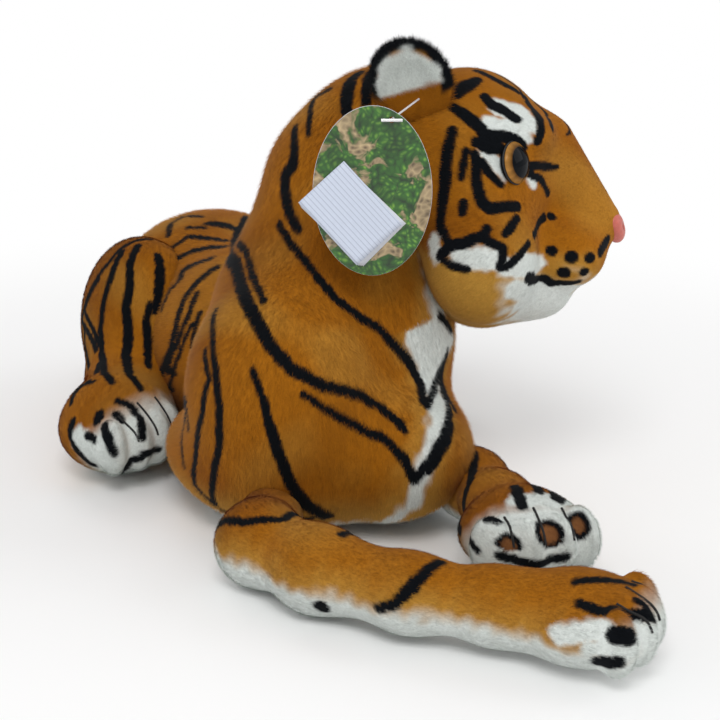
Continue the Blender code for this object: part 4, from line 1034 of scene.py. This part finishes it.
def hindleg_shape(side, rise):
    thigh = ((0.0, 0.0, THIGH_HEIGHT / 2), (THIGH_THICKNESS / 2, THIGH_LENGTH / 2, THIGH_HEIGHT / 2))
    path, radii = [], []
    for outward, forward, up, radius in HINDLEG_PATH:
        out, ahead = scaled((outward, forward), hindleg_sizes(side))
        path.append(np.array((side * out, ahead, THIGH_HEIGHT * (0.5 + up))))
        radii.append(radius * THIGH_THICKNESS)
    rods = [(a, b, ra, rb) for a, b, ra, rb in zip(path, path[1:], radii, radii[1:])]
    pad, toes = paw_parts(hindleg_paw(side), side * HINDLEG_PAW_TURN)
    hip = scaled(HIP, TORSO_SIZES)
    matrix = Matrix.Translation((HIP_MIDDLE * TORSO_SIZES[0] + side * hip[0], hip[1], rise))
    return Shape(matrix, [thigh, pad], rods, HINDLEG_BLEND, toes, TOE_BLEND)


def tail_shape(rise):
    root = scaled(TAIL_ROOT, TORSO_SIZES)
    lift = root[2] - TAIL_THICKNESS / 2
    path = []
    for out, back, height in TAIL_PATH:
        path.append(np.array((out * TAIL_LENGTH, back * TAIL_LENGTH, TAIL_THICKNESS / 2 + height * lift)))
    radii = [share * TAIL_THICKNESS for share in TAIL_RADII]
    rods = [(a, b, ra, rb) for a, b, ra, rb in zip(path, path[1:], radii, radii[1:])]
    return Shape(Matrix.Translation((root[0], root[1], rise)), [], rods, TAIL_BLEND)


def paint_leg(stripes, whites, pads, seam, seed, paw, bands=()):
    """A leg's colours: pale below and on the toes, with its own stripes, white marks and pads.

    The paw is given as (leg's frame, place, turn, how far over the paw the orange comes), the last as a share
    of its length.
    """

    def maker(skin):
        tree = skin_tree(skin)
        black, white, brown = Marks(tree), Marks(tree), Marks(tree)
        to_paw = (paw[0] @ Matrix.Translation(paw[1]) @ Matrix.Rotation(paw[2], 4, "Z")).inverted()
        for marks, drawn in ((black, stripes), (white, whites), (brown, pads)):
            marks.stripes(drawn)
        for run, half in bands:
            black.line([tree.find_nearest(Vector(point))[0] for point in run], (half * 0.6, half, half * 0.5))

        def paint(points, normals):
            colours = coat(points, seed)
            ragged = 0.002 * ripple(points, 0.006, seed + 2)
            colours = mixed(colours, TAN, 0.8 * soft_step(seam + 0.008 - points[:, 2] + ragged, 0.011))
            local = moved(points, to_paw)
            toes = -local[:, 1] / PAW_LENGTH - 0.35 * local[:, 2] / PAW_HEIGHT - paw[3] + 12 * ragged
            toes = np.minimum(toes, 0.7 - np.abs(local[:, 0]) / PAW_WIDTH)
            low = np.maximum(seam - points[:, 2] + ragged, 0.03 * toes)
            colours = mixed(colours, WHITE, soft_step(low, 0.0045))
            if white.points:
                colours = mixed(colours, WHITE, white.mask(points, 0.0010, seed + 3, 0.0016))
            if black.points:
                colours = mixed(colours, BLACK, black.mask(points, 0.0003, seed + 4))
            if brown.points:
                colours = mixed(colours, SKIN_BROWN, brown.mask(points, 0.0002, seed + 5))
            return colours

        return paint

    return maker


def paw_of(shape, place, turn, orange):
    return shape.matrix, Vector(place), turn, orange


def rings(shape, spots, half):
    """Bands round a leg or a tail at places along its rods, counted in rods."""
    made = []
    for spot in spots:
        index = min(int(spot), len(shape.rods) - 1)
        a, b, ra, rb = shape.rods[index]
        share = spot - index
        centre, run = a + share * (b - a), (b - a) / np.linalg.norm(b - a)
        radius = ra + share * (rb - ra)
        side = np.cross(run, (0, 0, 1))
        side /= np.linalg.norm(side)
        up = np.cross(side, run)
        points = []
        for angle in np.linspace(-15, 195, 12):
            way = side * math.cos(math.radians(angle)) + up * math.sin(math.radians(angle))
            points.append(shape.matrix @ Vector(centre + way * radius))
        made.append((points, half))
    return made


def left_hind_bands(shape):
    """Upright bands over the thigh that the photograph hides, and a short one on each toe."""
    made = []
    sizes = (THIGH_THICKNESS, THIGH_LENGTH, THIGH_HEIGHT)
    for ahead in (-0.42, -0.21, 0.0, 0.21, 0.42):
        run = []
        for up in np.linspace(0.25, 0.98, 9):
            bow = ahead + 0.10 * math.sin(5 * up + 9 * ahead)
            run.append(shape.matrix @ Vector(scaled((0.55, bow, up), sizes)))
        made.append((run, 0.0030))
    spin = Matrix.Rotation(HINDLEG_PAW_TURN, 3, "Z")
    for spread in TOE_SPREADS:
        run = []
        for reach, up in ((0.30, 0.9), (0.50, 0.75), (0.62, 0.4)):
            toe = Vector((spread * PAW_WIDTH, -reach * PAW_LENGTH, up * PAW_HEIGHT / 2))
            run.append(shape.matrix @ (Vector(hindleg_paw(1)) + spin @ toe))
        made.append((run, 0.0022))
    return made


def paint_tail(shape):
    def maker(skin):
        tree = skin_tree(skin)
        black = Marks(tree)
        for run, half in rings(shape, (0.6, 1.2, 1.7, 2.2, 2.7, 3.2, 3.7, 4.2), 0.0026):
            black.line([tree.find_nearest(Vector(point))[0] for point in run], (half, half, half))
        end = np.array(shape.matrix @ Vector(shape.rods[-1][1]))

        def paint(points, normals):
            colours = coat(points, 61)
            colours = mixed(colours, WHITE, soft_step(0.006 - points[:, 2], 0.002))
            tip = 0.030 - np.linalg.norm(points - end, axis=1) + 0.002 * ripple(points, 0.005, 6)
            dark = np.maximum(black.mask(points, 0.0004, 7), soft_step(tip, 0.0015))
            return mixed(colours, BLACK, dark)

        return paint

    return maker


def ear_matrix(tree, side):
    """The ear's frame on the head: X along its base, Y out of its lining and Z up."""
    matrix = head_matrix()
    inverse = matrix.inverted()
    x, y, z = scaled(EAR_BASE, HEAD_SIZES)
    lean_x, lean_y, lean_z = EAR_LEAN
    up = Vector((side * lean_x, lean_y, lean_z)).normalized()
    spin = matrix.to_3x3()
    far = matrix @ (Vector((side * x, y, z)) + up * 0.2)
    point = inverse @ tree.ray_cast(far, -(spin @ up))[0]
    along = Vector(EAR_ALONG)
    along.x *= side
    out = (up.cross(along) * side).normalized()
    along = out.cross(up).normalized()
    return matrix @ Matrix.Translation(point) @ Matrix((along, out, up)).transposed().to_4x4()


def build_ear(head_tree, side, tag, seed):
    """A cupped ear: a white lining in an orange back with a black furry rim."""
    matrix = ear_matrix(head_tree, side)
    middle = EAR_HEIGHT * 0.4
    ball = ((0.0, 0.0, middle), (EAR_WIDTH / 2, EAR_THICKNESS * 0.62, EAR_HEIGHT * 0.58 - INSET))
    dent_half = (EAR_WIDTH * 0.34, EAR_THICKNESS * 0.60, EAR_HEIGHT * 0.38)
    dent = ((0.0, EAR_THICKNESS * 0.80, middle + 0.002), dent_half)
    shape = Shape(matrix, [ball], [], 0.003, dents=[dent], detail_blend=0.003)
    inverse = matrix.inverted()

    def maker(skin):
        def paint(points, normals):
            local = moved(points, inverse)
            reach = np.hypot(local[:, 0] / (EAR_WIDTH / 2), (local[:, 2] - middle) / (EAR_HEIGHT * 0.58))
            ragged = 0.05 * ripple(points, 0.004, seed)
            colours = coat(points, seed)
            high = local[:, 2] - 0.016 - side * 0.30 * local[:, 0] + 0.02 * ragged
            rim = np.minimum(reach - 0.74 + ragged, 12 * (local[:, 2] - 0.010))
            front = soft_step(local[:, 1] + 0.0006, 0.0006)
            upper = soft_step(local[:, 2] - 0.012, 0.002)
            back = soft_step(reach - 0.45 + ragged, 0.06) * (1 - front) * upper
            edge = soft_step(rim, 0.05) * soft_step(high + 0.006, 0.002)
            colours = mixed(colours, BLACK, np.maximum(edge, back))
            inside = soft_step(0.78 - reach + ragged, 0.05) * front * soft_step(high, 0.0012)
            return mixed(colours, WHITE, inside)

        return paint

    def flow(points, normals):
        local = moved(points, inverse)
        way = np.column_stack((local[:, 0] * 12, np.zeros(len(points)), 0.35 + 12 * (local[:, 2] - middle)))
        return way @ np.array(matrix)[:3, :3].T

    nodes = ("ear_back_" + tag, "ear_lining_" + tag)
    return dressed(
        "ear_" + tag, shape, EAR_VOXEL, maker, flow, nodes, "ear_" + tag, seed, EAR_PILE,
    )


def facing_frame(node, facing, lift):
    """A frame at the middle of a CAD node's outermost end, whose Z faces out."""
    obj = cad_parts[node]
    points = coordinates(obj.data)
    out = np.array(facing)
    heights = points @ out
    top = points[heights > heights.max() - lift]
    middle = top.mean(axis=0)
    middle += out * (heights.max() - middle @ out)
    z = Vector(facing)
    x = Vector((0, 0, 1)).cross(z).normalized()
    return Matrix.Translation(middle) @ Matrix((x, z.cross(x), z)).transposed().to_4x4()


def lathe(name, profile, matrix, sides, colours):
    """A round solid from (radius, height) pairs, with a colour for each ring."""
    bm = bmesh.new()
    rows = []
    for radius, height in profile:
        row = []
        for k in range(sides):
            angle = 2 * math.pi * k / sides
            row.append(bm.verts.new((radius * math.cos(angle), radius * math.sin(angle), height)))
        rows.append(row)
    for low, high in zip(rows, rows[1:]):
        for k in range(sides):
            bm.faces.new((low[k], low[(k + 1) % sides], high[(k + 1) % sides], high[k]))
    bm.faces.new(rows[0][::-1])
    bm.faces.new(rows[-1])
    bmesh.ops.recalc_face_normals(bm, faces=bm.faces)
    mesh = finished(bm, name)
    mesh.shade_smooth()
    rng = np.random.default_rng(3)
    streaks = rng.normal(1.0, 0.16, sides)
    table = np.array([np.clip(colour * streaks[k], 0, 1) for colour in colours for k in range(sides)])
    write_tint(mesh, table)
    obj = new_object(name, mesh)
    obj.matrix_world = matrix
    return obj


def eye_facing(side):
    x, y, z = EYE_FACING
    return (head_matrix().to_3x3() @ Vector((side * x, y, z))).normalized()


def nose_facing():
    return (head_matrix().to_3x3() @ Vector(NOSE_FACING)).normalized()


def head_pile_length(points):
    """Short on the muzzle and longer towards the cheeks and the back of the head."""
    inverse = np.array(head_matrix().inverted())
    ahead = (points @ inverse[1, :3] + inverse[1, 3]) / HEAD_SIZES[1]
    return np.interp(ahead, (-0.5, -0.25, 0.05, 0.3), (0.0018, 0.0024, 0.0034, 0.0040))[:, None]


def build_eye(side, tag):
    """A domed eye: black pupil, streaked amber iris, black rim, all under one gloss."""
    top = facing_frame("pupil_" + tag, eye_facing(side), PUPIL_LIFT)
    matrix = top @ Matrix.Translation((0, 0, -EYE_HEIGHT))
    radius = EYE_DIAMETER / 2
    profile, colours = [(radius * 0.8, -0.0035), (radius, -0.0012)], [linear(BLACK), linear(BLACK)]
    for angle in np.linspace(4, 88, 26):
        reach = math.cos(math.radians(angle))
        profile.append((radius * reach, EYE_HEIGHT * math.sin(math.radians(angle))))
        dark = linear(BLACK)
        iris = linear(IRIS_DARK) + (linear(IRIS) - linear(IRIS_DARK)) * np.clip((reach - 0.72) / 0.22, 0, 1)
        colours.append(dark if reach > 0.985 or reach < 0.74 else iris)
    eye = lathe("eye_" + tag + "_dome", profile, matrix, 48, colours)
    put(eye, MATERIALS["eye"])
    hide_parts("eye_" + tag, "pupil_" + tag)
    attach(eye, "head")
    lid = wire_curve("eye_lid", EYE_RIM_RADIUS, 3)
    add_oval(lid, "NURBS", radius, radius, 24)
    ring = new_object("eye_rim_" + tag, lid)
    ring.matrix_world = matrix
    put(ring, MATERIALS["rim"])
    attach(ring, "head")


def build_nose():
    """A soft-cornered triangle with two nostrils."""
    matrix = facing_frame("nose", nose_facing(), NOSE_LIFT) @ Matrix.Translation((0, 0, -NOSE_DEPTH * 0.45))
    matrix = matrix @ Matrix.Translation((0, -0.0056, -0.0022)) @ Matrix.Scale(1.34, 4)
    bm = bmesh.new()
    bmesh.ops.create_uvsphere(bm, u_segments=64, v_segments=40, radius=1.0)
    colours = []
    for vert in bm.verts:
        x, y, z = vert.co
        narrow = 1.0 - 0.55 * (1.0 - y) / 2
        hollow = sum(math.exp(-(((x - s * 0.48) / 0.20) ** 2 + ((y + 0.12) / 0.20) ** 2)) for s in (1, -1))
        groove = math.exp(-((x / 0.09) ** 2)) * soft_value(-y)
        front = max(z, 0.0)
        vert.co = (
            x * narrow * NOSE_WIDTH / 2,
            y * NOSE_HEIGHT / 2,
            (z - front * (0.42 * hollow + 0.22 * groove)) * NOSE_DEPTH / 2,
        )
        # Painted shade in the nostrils and the groove, darkest where they are hollowed
        shade = min(1.0, 0.9 * hollow + 0.35 * groove)
        colours.append(linear(NOSE_PINK) + (linear(NOSE_HOLLOW_SHADE) - linear(NOSE_PINK)) * shade)
    mesh = finished(bm, "nose_pad")
    mesh.shade_smooth()
    write_tint(mesh, np.array(colours))
    nose = new_object("nose_pad", mesh)
    nose.matrix_world = matrix
    put(nose, MATERIALS["nose"])
    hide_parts("nose")
    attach(nose, "head")


def soft_value(value):
    return 1 / (1 + math.exp(-8 * value))


def build_threads(skin, shape, place, turn, name, body, bend=None):
    """The threads that draw a paw's toes apart."""
    tree = skin_tree(skin)
    spin = Matrix.Rotation(turn, 3, "Z")
    for left, right, spot in zip(TOE_SPREADS, TOE_SPREADS[1:], ("right", "middle", "left")):
        base = Vector(place) + spin @ Vector(((left + right) / 2 * PAW_WIDTH, -PAW_LENGTH * 0.2, 0))
        curve = wire_curve("thread", THREAD_DIAMETER / 2, 3)
        curve.use_fill_caps = True
        run = []
        for rise in np.linspace(12, 80, 12):
            way = spin @ Vector((0, -math.cos(math.radians(rise)), math.sin(math.radians(rise))))
            world = shape.matrix.to_3x3() @ way
            hit = tree.ray_cast(shape.matrix @ base + world * 0.1, -world)[0]
            if hit is not None:
                run.append(hit + world * 0.0003)
        spline = curve.splines.new("POLY")
        spline.points.add(len(run) - 1)
        for knot, point in zip(spline.points, run):
            knot.co = (*point, 1)
        thread = bpy.data.objects.new("thread", curve)
        bpy.context.scene.collection.objects.link(thread)
        bpy.context.view_layer.update()
        mesh = bpy.data.meshes.new_from_object(thread.evaluated_get(bpy.context.evaluated_depsgraph_get()))
        bpy.data.objects.remove(thread)
        piece = new_object(f"toe_thread_{name}_{spot}", mesh)
        put(piece, MATERIALS["thread"])
        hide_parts(f"toe_stitch_{name}_{spot}")
        carry((piece,), body, bend)


def build_tag():
    """The oval card with a leaf print and its paper booklet."""
    facing = Vector((math.sin(CAMERA_AZIMUTH), -math.cos(CAMERA_AZIMUTH), 0.0))
    points = coordinates(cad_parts["hang_tag_card"].data)
    centre = (points.max(axis=0) + points.min(axis=0)) / 2
    x = Vector((0, 0, 1)).cross(facing).normalized()
    matrix = Matrix.Translation(centre) @ Matrix((x, facing.cross(x), facing)).transposed().to_4x4()
    curve = bpy.data.curves.new("card", "CURVE")
    curve.dimensions = "2D"
    curve.fill_mode = "BOTH"
    curve.extrude = CARD_THICKNESS / 2 - 0.0001
    curve.bevel_depth = 0.0001
    curve.bevel_resolution = 2
    hole = (0.16 * CARD_WIDTH, 0.42 * CARD_HEIGHT)
    add_oval(curve, "POLY", CARD_WIDTH / 2, CARD_HEIGHT / 2, 96)
    add_oval(curve, "POLY", CARD_HOLE, CARD_HOLE, 24, hole)
    card = new_object("hang_tag_oval", curve)
    card.matrix_world = matrix
    put(card, MATERIALS["leaf"])
    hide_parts("hang_tag_card")
    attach(card, "hang_tag")
    rim = wire_curve("card_rim", CARD_THICKNESS / 2, 2)
    add_oval(rim, "POLY", CARD_WIDTH * 0.497, CARD_HEIGHT * 0.498, 96)
    edge = new_object("hang_tag_edge", rim)
    edge.matrix_world = matrix
    put(edge, MATERIALS["paper_plain"])
    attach(edge, "hang_tag")
    for page in range(4):
        bm = bmesh.new()
        bmesh.ops.create_grid(bm, x_segments=14, y_segments=14, size=0.5)
        for vert in bm.verts:
            along, up = vert.co.x, vert.co.y
            curl = 0.0016 * (along - 0.5) ** 2 * (page + 1) * 0.5
            vert.co = (along * LABEL_WIDTH, up * LABEL_HEIGHT, 0.0005 + page * 0.00022 + curl * 0.6)
        bmesh.ops.solidify(bm, geom=bm.faces[:], thickness=0.00012)
        mesh = finished(bm, "paper_leaf")
        mesh.shade_smooth()
        leaf = new_object(f"paper_leaf_{page + 1}", mesh)
        turn = Matrix.Rotation(LABEL_SLANT + math.radians(1.2 * (1.5 - page)), 4, "Z")
        left, low = -0.16 * CARD_WIDTH - 0.0005 * page, -0.14 * CARD_HEIGHT + 0.0004 * page
        slide = Matrix.Translation((left, low, 0))
        leaf.matrix_world = matrix @ slide @ turn
        put(leaf, MATERIALS["paper_ruled"] if page == 3 else MATERIALS["paper_plain"])
        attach(leaf, "hang_tag")
    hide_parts("paper_label")


def build_stage():
    """A pale floor, soft lamps and the photograph's camera."""
    bpy.ops.mesh.primitive_plane_add(size=12)
    floor = bpy.context.object
    floor.name = "floor"
    material, tree, shader = new_material("floor")
    grain = add_node(tree, "ShaderNodeTexNoise", Scale=3.0)
    shade = add_ramp(tree, (0.95, 0.95, 0.95), (0.98, 0.98, 0.98))
    link(grain, "Fac", shade, "Fac")
    link(shade, "Color", shader, "Base Color")
    shader.inputs["Roughness"].default_value = 1.0
    shader.inputs["Specular IOR Level"].default_value = 0.0
    place = tree.nodes.new("ShaderNodeTexCoord")
    far = tree.nodes.new("ShaderNodeVectorMath")
    far.operation = "LENGTH"
    link(place, "Object", far, 0)
    reach = tree.nodes.new("ShaderNodeMapRange")
    reach.interpolation_type = "SMOOTHSTEP"
    reach.inputs["From Min"].default_value, reach.inputs["From Max"].default_value = FLOOR_FADE
    link(far, "Value", reach, "Value")
    white = add_node(tree, "ShaderNodeEmission", Strength=1.0)
    white.inputs["Color"].default_value = (1, 1, 1, 1)
    mix = tree.nodes.new("ShaderNodeMixShader")
    link(reach, "Result", mix, "Fac")
    link(shader, "BSDF", mix, 1)
    link(white, "Emission", mix, 2)
    tree.links.new(mix.outputs["Shader"], tree.nodes["Material Output"].inputs["Surface"])
    put(floor, material)
    world = bpy.data.worlds.new("studio")
    bpy.context.scene.world = world
    world.use_nodes = True
    tree = world.node_tree
    soft = tree.nodes["Background"]
    soft.inputs["Color"].default_value = (1, 1, 1, 1)
    soft.inputs["Strength"].default_value = 0.60
    plain = add_node(tree, "ShaderNodeBackground", Strength=1.0)
    plain.inputs["Color"].default_value = (1, 1, 1, 1)
    path = tree.nodes.new("ShaderNodeLightPath")
    mix = tree.nodes.new("ShaderNodeMixShader")
    link(path, "Is Camera Ray", mix, "Fac")
    link(soft, "Background", mix, 1)
    link(plain, "Background", mix, 2)
    tree.links.new(mix.outputs["Shader"], tree.nodes["World Output"].inputs["Surface"])
    lamps = (
        ("key", (-0.9, -1.3, 1.6), 0.8, 17.0),
        ("fill", (1.4, -1.0, 1.0), 1.2, 6.0),
        ("rear", (0.3, 1.5, 1.3), 1.0, 6.0),
    )
    for name, place, size, power in lamps:
        lamp = bpy.data.lights.new(name, "AREA")
        lamp.size = size
        lamp.energy = power
        obj = new_object(name, lamp)
        obj.location = place
        obj.rotation_euler = (Vector((0, -0.05, 0.08)) - Vector(place)).to_track_quat("-Z", "Y").to_euler()
    camera = bpy.data.cameras.new("camera")
    camera.sensor_width = SENSOR
    camera.lens = PHOTO.focal / IMAGE_SIZE * SENSOR
    obj = new_object("camera", camera)
    obj.matrix_world = PHOTO.matrix()
    bpy.context.scene.camera = obj
    bpy.context.scene.view_settings.view_transform = "Standard"


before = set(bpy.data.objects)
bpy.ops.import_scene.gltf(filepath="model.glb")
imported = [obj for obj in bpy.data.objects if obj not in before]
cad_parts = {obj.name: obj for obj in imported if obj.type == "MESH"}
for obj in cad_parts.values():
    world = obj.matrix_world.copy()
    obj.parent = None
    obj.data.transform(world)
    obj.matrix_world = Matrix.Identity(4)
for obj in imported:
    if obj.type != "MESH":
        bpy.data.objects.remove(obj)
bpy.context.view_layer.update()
MATERIALS = {
    "skin": plush_material("plush_skin", 1.0, 0.03, 0.20),
    "pile": plush_material("plush_pile", 0.9, 0.05, 0.0),
    "eye": tinted_plastic("eye_gloss", 0.08, 0.07),
    "nose": tinted_plastic("nose_satin", 0.40, 0.30),
    "rim": plastic_material("eye_rim_black", (20, 20, 21), 0.55),
    "thread": plastic_material("thread_black", (26, 25, 25), 0.8),
    "clear": plastic_material("pin_plastic", (226, 226, 228), 0.25, 0.3),
    "leaf": leaf_material(),
    "paper_plain": paper_material("paper_white", (214, 218, 226), False),
    "paper_ruled": paper_material("paper_ruled", (204, 212, 228), True),
}
build_stage()

torso = dressed(
    "torso_plush", torso_shape(), VOXEL, paint_torso, torso_flow,
    ("torso", "belly_panel", "chest_bib"), "torso", 1, TORSO_PILE,
)
face_holes = [(facing_frame("nose", nose_facing(), NOSE_LIFT).to_translation(), NOSE_WIDTH * 0.48)]
for ear_side, ear_tag in ((1, "left"), (-1, "right")):
    spot = facing_frame("pupil_" + ear_tag, eye_facing(ear_side), PUPIL_LIFT).to_translation()
    face_holes.append((spot - eye_facing(ear_side) * EYE_HEIGHT, EYE_DIAMETER * 0.52))
head = dressed(
    "head_plush", head_shape(), HEAD_VOXEL, paint_head, head_flow, ("head",), "head", 2,
    (HEAD_PILE_DENSITY, head_pile_length, HEAD_PILE_WIDTH, HEAD_PILE_LIFT), holes=face_holes,
)
head_tree = skin_tree(head)
for ear_side, ear_tag in ((1, "left"), (-1, "right")):
    build_ear(head_tree, ear_side, ear_tag, 30 + ear_side)
    build_eye(ear_side, ear_tag)
build_nose()

right_hind = hindleg_shape(-1, HINDLEG_RIGHT_RISE)
left_hind = hindleg_shape(1, HINDLEG_LEFT_RISE)
right_leg = dressed(
    "hindleg_right_plush", right_hind, VOXEL,
    paint_leg(
        HINDLEG_STRIPES, HINDLEG_WHITES, (), HINDLEG_SEAM, 41,
        paw_of(right_hind, hindleg_paw(-1), -HINDLEG_PAW_TURN, HINDLEG_ORANGE),
    ),
    along_rods(right_hind), ("hindleg_right",), "hindleg_right", 4, LEG_PILE,
)
left_leg = dressed(
    "hindleg_left_plush", left_hind, VOXEL,
    paint_leg(
        (), (), (), HINDLEG_SEAM, 45,
        paw_of(left_hind, hindleg_paw(1), HINDLEG_PAW_TURN, HINDLEG_ORANGE), left_hind_bands(left_hind),
    ),
    along_rods(left_hind), ("hindleg_left",), "hindleg_left", 5, LEG_PILE,
)
right_fore = foreleg_shape(1, SHOULDER_RIGHT, 0.0, 0.0, FORELEG_ROOT, FORELEG_RIGHT_RISE)
left_fore = foreleg_shape(
    -1, SHOULDER_LEFT, SHOULDER_HEADING_LEFT, SHOULDER_PITCH_LEFT, (), FORELEG_LEFT_RISE,
)
RIGHT_BEND = ((-0.072, -0.136, 0.02), (-0.104, -0.172, 0.02))
LEFT_BEND = ((0.016, -0.090, 0.02), (0.004, -0.150, 0.02))
right_arm = dressed(
    "foreleg_right_plush", right_fore, VOXEL,
    paint_leg(
        FORELEG_RIGHT_STRIPES, FORELEG_RIGHT_WHITES, (), FORELEG_RIGHT_SEAM, 49,
        paw_of(right_fore, foreleg_paw(1), FORELEG_PAW_TURN, FORELEG_RIGHT_ORANGE),
    ),
    along_rods(right_fore), ("foreleg_right", "foreleg_underside_right"), "foreleg_right", 6,
    LEG_PILE, RIGHT_BEND,
)
left_arm = dressed(
    "foreleg_left_plush", left_fore, VOXEL,
    paint_leg(
        FORELEG_LEFT_STRIPES, FORELEG_LEFT_WHITES, FORELEG_LEFT_PADS, FORELEG_LEFT_SEAM, 53,
        paw_of(left_fore, foreleg_paw(-1), -FORELEG_PAW_TURN, FORELEG_LEFT_ORANGE),
    ),
    along_rods(left_fore), ("foreleg_left", "foreleg_underside_left"), "foreleg_left", 7,
    LEG_PILE, LEFT_BEND,
)
tail = tail_shape(TAIL_RISE)
dressed(
    "tail_plush", tail, VOXEL, paint_tail(tail), along_rods(tail), ("tail",), "tail", 8,
    LEG_PILE, ((0.0144, 0.150, 0.03), (0.026, 0.166, 0.02)),
)
build_threads(
    right_arm, right_fore, foreleg_paw(1), FORELEG_PAW_TURN, "fore_right", "foreleg_right", RIGHT_BEND,
)
build_threads(left_arm, left_fore, foreleg_paw(-1), -FORELEG_PAW_TURN, "fore_left", "foreleg_left", LEFT_BEND)
build_threads(right_leg, right_hind, hindleg_paw(-1), -HINDLEG_PAW_TURN, "hind_right", "hindleg_right")
build_threads(left_leg, left_hind, hindleg_paw(1), HINDLEG_PAW_TURN, "hind_left", "hindleg_left")
build_tag()
for node_name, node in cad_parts.items():
    if not node.hide_render:
        put(node, MATERIALS["clear"])
